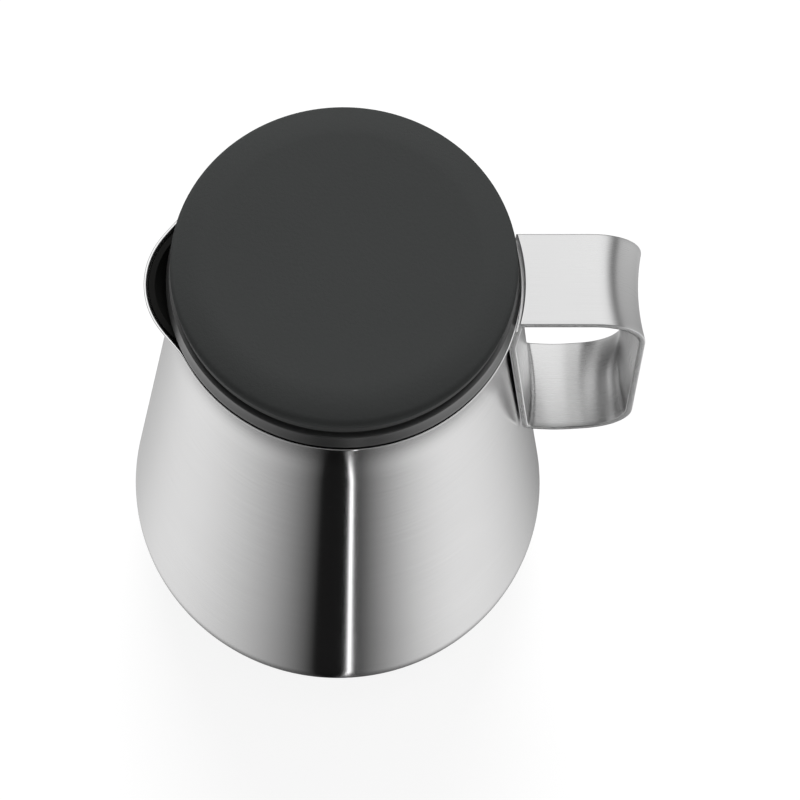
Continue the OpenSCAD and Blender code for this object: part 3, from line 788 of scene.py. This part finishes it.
@dataclass
class Side:
    """The jug's side seen from the handle's left: belly, straight cone and hollow neck."""

    rim_z: float = 215.0
    rim_r: float = 54.2
    neck_tuck: float = 4.0
    neck_round: float = 110.0
    belly_r: float = 75.0
    belly_z: float = 32.0
    belly_round: float = 30.0
    foot_r: float = 60.0
    neck_steps: int = 26
    neck_over: float = 8.0
    cone_steps: int = 12
    cone_over: float = 6.0
    belly_steps: int = 26
    belly_lead: float = 4.0

    def __post_init__(self) -> None:
        """Works out the cone's line, the neck curve that touches it, and the foot's height."""
        self.belly_c = Vector((self.belly_r - self.belly_round, self.belly_z))
        self.top = Vector((self.rim_r - self.neck_tuck, self.rim_z))
        run = self.belly_c - self.top
        angle = math.atan2(run.y, run.x) + math.asin(self.belly_round / run.length)
        self.along = Vector((math.cos(angle), math.sin(angle)))
        self.out = Vector((-math.sin(angle), math.cos(angle)))
        self.lean = math.degrees(angle) + 90
        rise = self.neck_tuck * self.out.x
        slide = math.sqrt(2 * self.neck_round * rise - rise * rise)
        self.touch = Vector((self.rim_r, self.rim_z)) - self.out * rise + self.along * slide
        self.neck_c = self.touch + self.out * self.neck_round
        self.foot_z = self.belly_z - math.sqrt(self.belly_round ** 2 - (self.foot_r - self.belly_c.x) ** 2)

    def radius(self, inset: float, z: float) -> float:
        """Radius of the side at a height.

        Args:
            inset: How far the side is moved in.
            z: The height.

        Returns:
            The radius, in millimetres.
        """
        touch = self.touch - self.out * inset
        low = self.belly_c + self.out * (self.belly_round - inset)
        if z >= touch.y:
            return self.neck_c.x - math.sqrt((self.neck_round + inset) ** 2 - (z - self.neck_c.y) ** 2)
        if z >= low.y:
            return touch.x + (z - touch.y) * self.along.x / self.along.y
        return self.belly_c.x + math.sqrt((self.belly_round - inset) ** 2 - (z - self.belly_z) ** 2)

    def heights(self, inset: float, low: float, high: float) -> list[float]:
        """Heights down the side, close together where it is curved.

        Args:
            inset: How far the side is moved in.
            low: The last height, below the belly's middle.
            high: The first height.

        Returns:
            The heights, from high down to low.
        """
        bend = self.belly_round - inset
        neck = spread(high, self.touch.y - self.neck_over, self.neck_steps)
        cone = spread(neck[-1], self.belly_z + self.cone_over, self.cone_steps)[1:]
        end = math.degrees(math.asin((low - self.belly_z) / bend))
        belly = [self.belly_z + bend * math.sin(math.radians(a))
                 for a in spread(self.lean + self.belly_lead, end, self.belly_steps)]
        return neck + [z for z in cone if z > belly[0]] + belly


@dataclass
class Profile:
    """A profile for the turning tree, each point with its inset and its share of the spout."""

    points: list[tuple[float, float, float, float]] = field(default_factory=list)

    def add(self, r: float, z: float, inset: float = 0.0, spouted: float = 0.0) -> None:
        """Adds a point, in millimetres."""
        self.points.append((r, z, inset, spouted))

    def extend(self, outline: Iterable[Point2]) -> "Profile":
        """Adds plain points.

        Args:
            outline: Their radii and heights, in millimetres.

        Returns:
            This profile.
        """
        for r, z in outline:
            self.add(r, z)
        return self

    def mesh(self, name: str) -> bpy.types.Mesh:
        """Makes the profile a line of points, in metres.

        Args:
            name: Name of the mesh.

        Returns:
            The line, with the points' values as attributes.
        """
        made = bpy.data.meshes.new(name)
        made.from_pydata([(r * MM, 0.0, z * MM) for r, z, _, _ in self.points],
                         [(i, i + 1) for i in range(len(self.points) - 1)], [])
        for label, values in (("inset", [p[2] * MM for p in self.points]),
                              ("spouted", [p[3] for p in self.points])):
            made.attributes.new(label, "FLOAT", "POINT").data.foreach_set("value", values)
        return made


NO_SPOUT = {"Spout Distance": 0.0, "Spout Root Radius": 0.0, "Spout Curve Radius": 1.0,
            "Spout Foot Height": 0.0, "Blend Width": MM}


class Workshop:
    """The trees and materials that all the sub-assemblies share."""

    def __init__(self) -> None:
        """Makes the trees."""
        self.palette = Palette()
        self.turning = Tree("turned_wall", TURN_INPUTS, turned_wall)
        self.repeating = Tree("repeated_piece", REPEAT_INPUTS, repeated_piece)

    def turn(self, name: str, profile: Profile, slot: str, steps: int,
             spout: dict[str, float] | None = None) -> bpy.types.Object:
        """Turns a profile into a piece with so many faces round the axis, and a spout where it has one."""
        values = {"Steps": steps, **(spout or NO_SPOUT)}
        return self.turning.apply(name, profile.mesh(name), self.palette.get(slot), values)

    def place(self, piece: bpy.types.Object, body: str, slot: str, *nodes: str) -> None:
        """Puts a piece on its body, and hides the nodes that it takes the place of.

        Args:
            piece: The piece.
            body: The body that it rides on.
            slot: The record's material slot. Not used.
            nodes: The nodes that it takes the place of.
        """
        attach(piece, body)
        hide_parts(*nodes)
        LOG.info("%s on %s: %d faces", piece.name, body, len(piece.data.polygons))


@dataclass
class Shell:
    """The steel shell with its polished rim and its spout."""

    side: Side = field(default_factory=Side)
    spout: Spout = field(default_factory=Spout)
    wall: float = 0.8
    rim_out: float = 0.5
    rim_in: float = 0.35
    rim_depth: float = 1.6
    rim_round: float = 0.3
    rim_gap: float = 0.4
    rim_steps: int = 5
    steps: int = 400

    def rim_points(self) -> list[Point2]:
        """Shapes the rim's bead.

        Returns:
            Inset and height of the points over it, from outside to inside.
        """
        top, r = self.side.rim_z, self.rim_round
        outside = arc((r - self.rim_out, top - r), r, 180, 90, self.rim_steps)
        inside = arc((self.rim_in - r, top - r), r, 90, 0, self.rim_steps)
        return outside + inside + [(self.rim_in, top - self.rim_depth / 2), (self.wall, top - self.rim_depth)]

    def shell_profile(self) -> Profile:
        """Shapes the wall: down the outside, round the foot, up the inside and over the rim.

        Returns:
            Its closed profile.
        """
        side, made = self.side, Profile()
        rim = self.rim_points()
        outer = side.heights(0.0, side.foot_z, side.rim_z - self.rim_round - self.rim_out)
        inner = side.heights(self.wall, side.foot_z, side.rim_z - self.rim_depth - self.rim_gap)
        down = [rim[0]] + [(0.0, z) for z in outer]
        up = [(self.wall, z) for z in reversed(inner)] + rim[::-1]
        for inset, z in down + up:
            made.add(side.radius(inset, z), z, inset, 1.0)
        return made

    def build(self, shop: Workshop) -> None:
        """Makes the shell.

        Args:
            shop: Holds the trees and materials.
        """
        inputs = self.spout.inputs(self.side.rim_z)
        piece = shop.turn("steel_shell", self.shell_profile(), "shell_steel", self.steps, inputs)
        brush_round_axis(piece.data, self.side.rim_z)
        shop.place(piece, "jug", "shell_steel", "outer_shell")


@dataclass(frozen=True)
class Corner:
    """A corner of the band's middle line: its sharp place, its bend's radius and its steps."""

    place: Point2
    bend: float
    steps: int


@dataclass
class Crossing:
    """A crossing of the band: its middle, the way outwards, and what an offset outwards is multiplied by."""

    middle: Vector
    normal: Vector
    widening: float = 1.0


@dataclass
class Handle:
    """The closed band of steel, swept round its corners, with a dished grip and a wrapped seat.

    Lengths are in millimetres. A drop is measured down from the rim and a rise up from the lowest line.
    """

    side: Side = field(default_factory=Side)
    width: float = 30.4
    thick: float = 2.2
    lift: float = 3.0
    reach: float = 91.2
    splay: float = 3.8
    drop: float = 89.6
    dish: float = 1.6
    edge_round: float = 0.35
    rim_bend: float = 1.6
    waist_bend: float = 20.0
    seat_bend: float = 3.5
    sag_bend: float = 25.0
    low_bend: float = 16.5
    top_bend: float = 15.0
    seat_gap: float = 0.1
    wrap_top: float = 2.0
    wrap_low: float = 1.5
    waist_drop: float = 16.0
    foot_rise: float = 2.0
    sag_share: float = 0.26
    corner_rise: float = 4.6
    dish_share: float = 0.4
    slot_gap: float = 1.15
    slot_depth: float = 2.4
    chamfer: float = 0.35
    chamfer_over: float = 0.5
    across: int = 20
    edge_steps: int = 4
    flat_steps: int = 8
    seat_steps: int = 12
    bend_steps: int = 28
    longest_step: float = 3.0
    slot_steps: int = 256
    sharp_degrees: float = 30.0

    def __post_init__(self) -> None:
        """Works out the middle line's corners."""
        side = self.side
        self.top_z = side.rim_z + self.lift - self.thick / 2
        self.low_z = side.rim_z - self.drop + self.thick / 2
        out = self.seat_gap + self.thick / 2
        waist = side.rim_z - self.waist_drop
        self.seat_z = self.low_z + self.foot_rise
        self.seat_x = side.top.x + side.along.x * (self.seat_z - side.top.y) / side.along.y + out / side.out.x
        self.grip_x = self.reach - self.thick / 2
        low_x = self.grip_x + self.splay
        sag_x = self.seat_x + (low_x - self.seat_x) * self.sag_share
        waist_x = side.radius(0.0, waist) + out
        self.corners = [
            Corner((side.rim_r + out, self.top_z), self.rim_bend, self.flat_steps),
            Corner((waist_x, waist), self.waist_bend, self.flat_steps),
            Corner((self.seat_x, self.seat_z), self.seat_bend, self.seat_steps),
            Corner((sag_x, self.low_z), self.sag_bend, self.flat_steps),
            Corner((low_x, self.low_z + self.corner_rise), self.low_bend, self.bend_steps),
            Corner((self.grip_x, self.top_z), self.top_bend, self.bend_steps)]
        self.dish_x = waist_x + (self.grip_x - waist_x) * self.dish_share

    def path(self) -> list[Crossing]:
        """Rounds the corners of the band's middle line, seen from the side.

        Returns:
            Its crossings. Their widening makes the corner at the rim a square one.
        """
        found: list[Crossing] = []
        full = self.rim_bend + self.thick / 2
        total = len(self.corners)
        for i, corner in enumerate(self.corners):
            before, here, after = (Vector(self.corners[(i + k) % total].place) for k in (-1, 0, 1))
            u, v = (here - before).normalized(), (after - here).normalized()
            turn = math.acos(max(-1.0, min(1.0, u.dot(v))))
            centre = here - u * corner.bend * math.tan(turn / 2) + Vector((-u.y, u.x)) * corner.bend
            start = math.atan2(-u.x, u.y)
            for k in range(corner.steps + 1):
                a = start + turn * k / corner.steps
                normal = Vector((math.cos(a), math.sin(a)))
                square = 1.0 / math.cos(min(a - start, start + turn - a)) if i == 0 else 1.0
                found.append(Crossing(centre + normal * corner.bend, normal,
                                      1.0 + (square - 1.0) * full / (full - corner.bend)))
        return self.refine(found)

    def refine(self, found: list[Crossing]) -> list[Crossing]:
        """Adds crossings on the straight stretches.

        Args:
            found: The crossings of the corners.

        Returns:
            The crossings, no further apart than the longest step.
        """
        made: list[Crossing] = []
        for i, here in enumerate(found):
            after = found[(i + 1) % len(found)]
            steps = max(1, int((after.middle - here.middle).length / self.longest_step))
            made.append(here)
            made += [Crossing(here.middle.lerp(after.middle, k / steps),
                              here.normal.lerp(after.normal, k / steps).normalized())
                     for k in range(1, steps)]
        return made

    def section(self) -> list[Point2]:
        """Shapes the band's section, with eased edges.

        Returns:
            Its points, each across the width and through the thickness.
        """
        half, deep, r, steps = self.width / 2, self.thick / 2, self.edge_round, self.edge_steps
        flat = half - r
        top = [(flat * (2 * k / self.across - 1), deep) for k in range(1, self.across)]
        under = [(-x, -deep) for x, _ in top]
        right = arc((flat, deep - r), r, 90, 0, steps) + arc((flat, r - deep), r, 0, -90, steps)
        left = arc((-flat, r - deep), r, -90, -180, steps) + arc((-flat, deep - r), r, 180, 90, steps)
        return top + right + under + left

    def cup(self, x: float, z: float) -> float:
        """How far the band's edges stand out from its middle.

        Args:
            x: Place of the middle line, outwards.
            z: Its height.

        Returns:
            The distance, above 0 where the band is dished and below where it is wrapped.
        """
        def clamp(t: float) -> float:
            """Keeps a share between 0 and 1."""
            return max(0.0, min(1.0, t))

        def ease(t: float) -> float:
            """Rises smoothly from 0 to 1."""
            return clamp(t) ** 2 * (3 - 2 * clamp(t))

        share = clamp((z - self.seat_z) / (self.top_z - self.seat_z))
        wrap = self.wrap_low + (self.wrap_top - self.wrap_low) * share
        dished = self.dish * ease((x - self.dish_x) / (self.grip_x - self.dish_x))
        return dished - wrap * (1 - ease((x - self.seat_x) / (self.dish_x - self.seat_x)))

    def mesh(self) -> bpy.types.Mesh:
        """Sweeps the section round the path, with a map of lengths for the brushing.

        Returns:
            A closed band.
        """
        path, section, half = self.path(), self.section(), self.width / 2
        rings = []
        for crossing in path:
            bow = self.cup(crossing.middle.x, crossing.middle.y)
            spots = [(q, crossing.middle + crossing.normal * (o * crossing.widening if o > 0 else o))
                     for q, o in section]
            rings.append([(spot.x + bow * (q / half) ** 2, q, spot.y) for q, spot in spots])
        made = ringed_mesh("handle_band", rings, closed=True)
        run = self.lengths([crossing.middle for crossing in path])
        over = self.lengths([Vector(spot) for spot in section])
        spots = [(run[i + di] * MM, over[j + dj] * MM) for i in range(len(path)) for j in range(len(section))
                 for di, dj in ((0, 0), (0, 1), (1, 1), (1, 0))]
        layer = made.uv_layers.new(name="lengths")
        layer.data.foreach_set("uv", [c for spot in spots for c in spot])
        return made

    @staticmethod
    def lengths(loop: list[Vector]) -> list[float]:
        """Measures along a closed line.

        Args:
            loop: Its points.

        Returns:
            The length from the first point to each, and all round back to the first.
        """
        found = [0.0]
        for here, after in zip(loop, loop[1:] + loop[:1]):
            found.append(found[-1] + (after - here).length)
        return found

    def cutter(self) -> bpy.types.Object:
        """Makes a tool that clears the rim, with a cone at its top that breaks the plate's edge.

        Returns:
            The tool, a turned block in the scene.
        """
        r = self.side.rim_r + self.slot_gap
        top, over = self.side.rim_z + self.lift, self.chamfer_over
        sizes = ((r, self.side.rim_z - self.slot_depth), (r, top - self.chamfer),
                 (r + self.chamfer + over, top + over))
        rings = [round_ring(radius, z, self.slot_steps) for radius, z in sizes]
        return stand("rim_cutter", ringed_mesh("rim_cutter", rings))

    def build(self, shop: Workshop) -> None:
        """Makes the handle.

        Args:
            shop: Holds the trees and materials.
        """
        mesh = self.mesh()
        tidy_mesh(mesh)
        piece = new_piece("handle_loop", mesh, shop.palette.get("handle_steel"))
        tool = self.cutter()
        cut = piece.modifiers.new("rim", "BOOLEAN")
        cut.operation, cut.solver, cut.object = "DIFFERENCE", "EXACT", tool
        made = plain_mesh(piece)
        piece.modifiers.remove(cut)
        piece.data = made
        bpy.data.objects.remove(tool)
        tidy_mesh(made, self.sharp_degrees)
        brush_round_axis(made, self.side.rim_z)
        shop.place(piece, "jug", "handle_steel", "handle_band")


@dataclass
class Lid:
    """The turning cap: soft shoulder, rounded edge, a fine groove, and a foot that flares out."""

    skirt_z: float = 216.6
    radius: float = 52.6
    flare: float = 1.85
    foot_h: float = 5.6
    height: float = 17.5
    flat_r: float = 40.5
    shoulder: float = 26.0
    edge: float = 2.8
    wall: float = 2.4
    foot_round: float = 0.2
    flare_power: float = 1.2
    ring_rise: float = 0.55
    groove_low: float = 221.6
    groove_top: float = 224.6
    groove_r: float = 51.0
    lip_r: float = 52.3
    brow_round: float = 0.3
    groove_round: float = 0.4
    lip_over: float = 4.0
    flare_steps: int = 8
    inner_steps: int = 10
    edge_steps: int = 16
    shoulder_steps: int = 18
    flat_steps: int = 4
    steps: int = 256

    def foot_curve(self) -> list[Point2]:
        """Shapes the foot's outside, from its lowest edge up to the groove, and the groove itself.

        Returns:
            The outline's points.
        """
        rise = self.groove_low - self.skirt_z
        ring_r = self.radius + self.ring_rise
        flare = [(ring_r + (self.radius + self.flare - ring_r) * (1 - s) ** self.flare_power,
                  self.skirt_z + rise * s) for s in spread(0.0, 1.0, self.flare_steps)]
        deep_low, deep_top = (self.groove_r, self.groove_low), (self.groove_r, self.groove_top)
        lip_low = (self.lip_r, self.groove_top)
        above = (self.radius, self.groove_top + self.lip_over)
        brow = fillet(flare[-1], flare[-2], deep_low, self.brow_round)
        floor = fillet(deep_low, flare[-1], deep_top, self.groove_round)
        roof = fillet(deep_top, floor[-1], lip_low, self.groove_round)
        lip = fillet(lip_low, roof[-1], above, self.groove_round)
        return flare[:-1] + brow + floor + roof + lip

    def profile(self) -> Profile:
        """Shapes the cap from the middle of its underside round to the middle of its top.

        Returns:
            The profile.
        """
        top = self.skirt_z + self.height
        lean = math.degrees(math.asin((self.radius - self.edge - self.flat_r) / (self.shoulder - self.edge)))
        shoulder_c = (self.flat_r, top - self.shoulder)
        edge_c = (self.radius - self.edge,
                  top - self.shoulder + (self.shoulder - self.edge) * math.cos(math.radians(lean)))
        inside = self.shoulder - self.wall
        wall_r = self.radius - self.wall
        inner_lean = math.degrees(math.asin((wall_r - self.flat_r) / inside))
        foot = self.foot_curve()
        inner_foot = (wall_r + self.flare, self.skirt_z)
        inner = arc(shoulder_c, inside, 90, 90 - inner_lean, self.inner_steps)
        inner.append((wall_r, self.skirt_z + self.foot_h))
        made = Profile([(0.0, top - self.wall, 0.0, 0.0)]).extend(inner)
        made.extend(fillet(inner_foot, inner[-1], foot[0], self.foot_round))
        made.extend(fillet(foot[0], inner_foot, foot[1], self.foot_round))
        made.extend(foot[2:])
        made.extend(arc(edge_c, self.edge, 0, 90 - lean, self.edge_steps))
        made.extend(arc(shoulder_c, self.shoulder, 90 - lean, 90, self.shoulder_steps)[1:])
        return made.extend((self.flat_r * share, top) for share in spread(1.0, 0.0, self.flat_steps)[1:])

    def build(self, shop: Workshop) -> None:
        """Makes the cap."""
        piece = shop.turn("soft_cap", self.profile(), "soft_black", self.steps)
        shop.place(piece, "cap", "soft_black", "lid_shell")


@dataclass
class Screw:
    """A screw with a rounded head, a hexagon socket and a fine thread, its head's seat at 0."""

    head_r: float
    head_t: float
    shank_r: float
    length: float
    pitch: float = 0.6
    edge: float = 0.35
    socket_share: float = 0.5
    thread_depth: float = 0.12
    tip: float = 0.5
    tip_share: float = 0.6
    socket_break: float = 0.1
    socket_floor_share: float = 0.35
    edge_steps: int = 4

    def mesh(self, name: str, head_up: bool) -> bpy.types.Mesh:
        """Makes the screw.

        Args:
            name: Name of the mesh.
            head_up: Whether the head stands on top.

        Returns:
            A closed mesh.
        """
        flat = self.head_r * 2 * self.socket_share
        shank, groove, start = self.shank_r, self.shank_r - self.thread_depth, self.tip - self.length
        rings = [round_ring(shank * self.tip_share, -self.length), round_ring(shank, start)]
        z = start + self.pitch
        while z < -self.pitch:
            rings += [round_ring(groove, z - self.pitch / 2), round_ring(shank, z)]
            z += self.pitch
        rings += [round_ring(shank, 0.0), round_ring(self.head_r, 0.0)]
        edge_c = (self.head_r - self.edge, self.head_t - self.edge)
        rings += [round_ring(r, z) for r, z in arc(edge_c, self.edge, 0, 90, self.edge_steps)]
        rings += [hex_ring(flat + 2 * self.socket_break, self.head_t),
                  hex_ring(flat, self.head_t - self.socket_break),
                  hex_ring(flat, self.head_t * self.socket_floor_share)]
        if not head_up:
            rings = [[(x, y, -z) for x, y, z in ring] for ring in rings]
        return ringed_mesh(name, rings)


@dataclass
class Nut:
    """A nut with turned-down corners and a threaded hole, standing on 0."""

    flat: float = 8.0
    height: float = 4.0
    bore_r: float = 2.55
    corner: float = 0.45
    chamfer: float = 0.35
    face_share: float = 0.98
    corner_share: float = 1.05

    def mesh(self, name: str) -> bpy.types.Mesh:
        """Makes the nut.

        Args:
            name: Name of the mesh.

        Returns:
            A closed ring.
        """
        face, top, bore = self.flat / 2 * self.face_share, self.height, self.bore_r
        most = face * self.corner_share
        outside = [round_ring(face, 0.0), hex_ring(self.flat, self.corner / 2, most),
                   hex_ring(self.flat, self.corner), hex_ring(self.flat, top - self.corner),
                   hex_ring(self.flat, top - self.corner / 2, most), round_ring(face, top)]
        inside = [round_ring(bore + self.chamfer, top), round_ring(bore, top - self.chamfer),
                  round_ring(bore, self.chamfer), round_ring(bore + self.chamfer, 0.0)]
        return ringed_mesh(name, outside + inside, closed=True)


@dataclass
class Fasteners:
    """Screws and nuts, each kind made once and repeated. Heights in millimetres."""

    side: Side = field(default_factory=Side)
    retainer_screw: Screw = field(default_factory=lambda: Screw(2.0, 1.3, 1.1, 7.9))
    lid_screw: Screw = field(default_factory=lambda: Screw(3.0, 1.6, 1.4, 7.0))
    valve_screw: Screw = field(default_factory=lambda: Screw(3.2, 1.4, 1.4, 14.0))
    nut: Nut = field(default_factory=Nut)
    count: int = 3
    nut_count: int = 2
    retainer_place_r: float = 12.85
    retainer_z: float = 208.5
    lid_place_r: float = 36.0
    lid_z: float = 219.0
    valve_z: float = 179.3
    nut_z: float = 182.0
    nut_pitch: float = 30.0
    nut_inset: float = 6.86

    def repeat(self, shop: Workshop, name: str, mesh: bpy.types.Mesh, count: int, first: Point3,
               step: Point3 = (0.0, 0.0, 0.0), turn_step: float = 0.0, lean: float = 0.0) -> bpy.types.Object:
        """Makes one piece of several equal fasteners.

        Args:
            shop: Holds the trees and materials.
            name: Name of the piece.
            mesh: One fastener, upright at the origin.
            count: How many there are.
            first: Place of the first, in millimetres.
            step: From each to the next, in millimetres.
            turn_step: Turn about the upright axis from each to the next, in degrees.
            lean: Lean of each, in degrees.

        Returns:
            The piece, not yet on a body.
        """
        values = {"Count": count, "First Place": [v * MM for v in first], "Step": [v * MM for v in step],
                  "Turn Step": math.radians(turn_step), "Lean": math.radians(lean)}
        return shop.repeating.apply(name, mesh, shop.palette.get("fastener_steel"), values)

    def build(self, shop: Workshop) -> None:
        """Makes the screws of the retainer, the cap and the valve, and the handle's nuts.

        Args:
            shop: Holds the trees and materials.
        """
        turn_step = 360 / self.count
        half_step, reach = math.radians(turn_step / 2), self.retainer_place_r
        first = (reach * math.cos(half_step), reach * math.sin(half_step), self.retainer_z)
        mesh = self.retainer_screw.mesh("retainer_screw", True)
        piece = self.repeat(shop, "retainer_screw_ring", mesh, self.count, first, turn_step=turn_step)
        shop.place(piece, "stopper", "fastener_steel", "retainer_screws")
        mesh = self.lid_screw.mesh("lid_screw", False)
        first = (self.lid_place_r, 0.0, self.lid_z)
        piece = self.repeat(shop, "lid_screw_ring", mesh, self.count, first, turn_step=turn_step)
        shop.place(piece, "cap", "fastener_steel", "lid_screws")
        mesh = self.valve_screw.mesh("end_screw", False)
        piece = self.repeat(shop, "valve_end_screw", mesh, 1, (0.0, 0.0, self.valve_z))
        shop.place(piece, "valve", "fastener_steel", "valve_screw")
        out, along = self.side.out, self.side.along
        first = (self.side.radius(0.0, self.nut_z) - out.x * self.nut_inset, 0.0,
                 self.nut_z - out.y * self.nut_inset)
        piece = self.repeat(shop, "handle_nut_row", self.nut.mesh("handle_nut"), self.nut_count, first,
                            step=(-self.nut_pitch * along.x / along.y, 0.0, -self.nut_pitch),
                            lean=math.degrees(math.atan2(out.x, out.y)))
        shop.place(piece, "jug", "fastener_steel", "handle_nuts")


@dataclass
class Carried:
    """The pieces that keep their CAD shape and get a better material."""

    def build(self, shop: Workshop) -> None:
        """Dresses every node that still shows.

        Args:
            shop: Holds the materials.
        """
        slots = {row["node"]: row["material_slot"] for row in frame["record"]["subparts"]}
        for name, piece in sorted(frame["nodes"].items()):
            material = shop.palette.get(slots[name])
            if piece.material_slots:
                for spot in piece.material_slots:
                    spot.material = material
            else:
                piece.data.materials.append(material)
            LOG.info("%s keeps its shape, in %s", name, material.name)


@dataclass(frozen=True)
class Card:
    """A soft white card that stands round the jug, as its steel sees it. Angles in degrees."""

    bearing: float
    fade_left: float
    fade_right: float
    level: float
    power: float

    def light(self, nodes: Nodes, turn: Expr) -> Expr:
        """The card's light.

        Args:
            nodes: The world's builder.
            turn: Bearing of the looked-at direction, from the front towards the handle, in radians.

        Returns:
            Its level, full in the middle and fading to nothing at both sides.
        """
        off = nodes.expr("ShaderNodeMath", {"operation": "WRAP"},
                         {0: turn - math.radians(self.bearing), 1: math.pi, 2: -math.pi})
        share = (off / math.radians(self.fade_right)).at_least(off / math.radians(-self.fade_left))
        return self.level * (share.at_most(1.0) * (math.pi / 2)).of("COSINE").at_least(0.0) ** self.power


@dataclass
class Studio:
    """White floor and surroundings, soft light, and the camera of the photograph.

    An edge is the pair of heights, or of distances, between which a zone of the light fades in.
    """

    camera_place: tuple[float, float, float] = (-0.010257, -0.319650, 0.95107)
    tilt: float = 21.48
    lens: float = 117.66
    sensor: float = 36.0
    shift: Point2 = (0.11246, -0.0326)
    floor_size: float = 8.0
    floor_tone: float = 0.9
    floor_white: float = 1.15
    shadow_share: float = 0.25
    floor_glow: float = 0.01
    cards: tuple[Card, ...] = (
        Card(-92, 72, 82, 0.98, 0.9), Card(64, 59, 98, 1.0, 1.25),
        Card(6.0, 0.9, 0.9, 3.0, 0.35), Card(-164, 30, 34, 0.24, 1.0))
    low_edge: Point2 = (-0.86, -0.62)
    low_drop: float = 0.28
    under_edge: Point2 = (0.91, 0.975)
    under_drop: float = 0.85
    horizon: Point2 = (0.32, 0.53)
    room_level: float = 0.14
    top_towards: tuple[float, float, float] = (0.21, 0.4, 0.89)
    top_edge: Point2 = (0.35, 0.72)
    top_level: float = 1.0
    lamp_level: float = 2.0
    lamp_lean: float = 49.0
    lamp_spread: float = 35.0

    def build(self) -> None:
        """Makes everything that isn't part of the jug."""
        self.make_floor()
        self.make_lamp()
        self.make_world()
        self.make_camera()

    def make_floor(self) -> None:
        """A plain white floor that keeps a soft shadow."""
        half = self.floor_size / 2
        corners = [(-half, -half, 0), (half, -half, 0), (half, half, 0), (-half, half, 0)]
        mesh = bpy.data.meshes.new("floor")
        mesh.from_pydata(corners, [], [(0, 1, 2, 3)])
        floor = stand("floor", mesh)
        material = bpy.data.materials.new("white_floor")
        nodes = Nodes.emptied(material)
        path = nodes.node("ShaderNodeLightPath")
        camera, glossy, through = (Expr(nodes, path.outputs[f"Is {kind} Ray"])
                                   for kind in ("Camera", "Glossy", "Transmission"))
        seen = camera.at_least(glossy).at_least(through)
        matt = nodes.node("ShaderNodeBsdfDiffuse", None, {"Color": grey(self.floor_tone)})
        glow = nodes.node("ShaderNodeEmission", None, {"Color": grey(1.0), "Strength": self.floor_white})
        mixed = nodes.node("ShaderNodeMixShader", None,
                           {0: seen * (1 - self.shadow_share), 1: matt.outputs[0], 2: glow.outputs[0]})
        nodes.node("ShaderNodeOutputMaterial", None, {"Surface": mixed.outputs[0]})
        mesh.materials.append(material)
        floor.visible_glossy = False

    def make_lamp(self) -> None:
        """A wide soft lamp high behind the jug, for matt surfaces."""
        data = bpy.data.lights.new("back_light", "SUN")
        data.energy, data.angle = self.lamp_level, math.radians(self.lamp_spread)
        lamp = stand("back_light", data)
        lamp.rotation_euler = (-math.radians(self.lamp_lean), 0.0, 0.0)
        lamp.visible_glossy = False

    def make_world(self) -> None:
        """White to the camera; to the jug a ring of soft cards, a dark room and a top light."""
        world = bpy.data.worlds.new("studio")
        bpy.context.scene.world = world
        nodes = Nodes.emptied(world)
        towards = nodes.place("Generated")
        x, y, z = nodes.split(towards)
        turn = nodes.expr("ShaderNodeMath", {"operation": "ARCTAN2"}, {0: x, 1: -y})
        ring = self.floor_glow + sum((card.light(nodes, turn) for card in self.cards), 0.0)
        ring = ring * (1.0 - self.low_drop * nodes.ramp(z, *self.low_edge))
        ring = ring * (1.0 - self.under_drop * nodes.ramp(-z, *self.under_edge))
        room = nodes.ramp(z, *self.horizon)
        level = ring * (1.0 - room) + self.room_level * room
        away = nodes.expr("ShaderNodeVectorMath", {"operation": "DISTANCE"},
                          {0: towards, 1: self.top_towards}, "Value")
        top = 1.0 - nodes.ramp(away, *self.top_edge)
        level = level * (1.0 - top) + self.top_level * top
        path = nodes.node("ShaderNodeLightPath")
        studio = nodes.node("ShaderNodeBackground", None, {"Color": nodes.join(level, level, level)})
        white = nodes.node("ShaderNodeBackground", None, {"Color": grey(1.0)})
        mixed = nodes.node("ShaderNodeMixShader", None,
                           {0: path.outputs["Is Camera Ray"], 1: studio.outputs[0], 2: white.outputs[0]})
        nodes.node("ShaderNodeOutputWorld", None, {"Surface": mixed.outputs[0]})

    def make_camera(self) -> None:
        """The camera, high above the front."""
        data = bpy.data.cameras.new("camera")
        data.sensor_width = self.sensor
        data.lens = self.lens
        data.shift_x, data.shift_y = self.shift
        camera = stand("camera", data)
        camera.location = self.camera_place
        camera.rotation_euler = (math.radians(self.tilt), 0.0, 0.0)
        bpy.context.scene.camera = camera
        bpy.context.scene.view_settings.view_transform = "Standard"


def main() -> None:
    """Builds the jug's pieces and the studio."""
    logging.basicConfig(level=logging.INFO, format="%(name)s: %(message)s")
    shop = Workshop()
    Carried().build(shop)
    Shell().build(shop)
    Handle().build(shop)
    Lid().build(shop)
    Fasteners().build(shop)
    Studio().build()


if __name__ == "__main__":
    main()
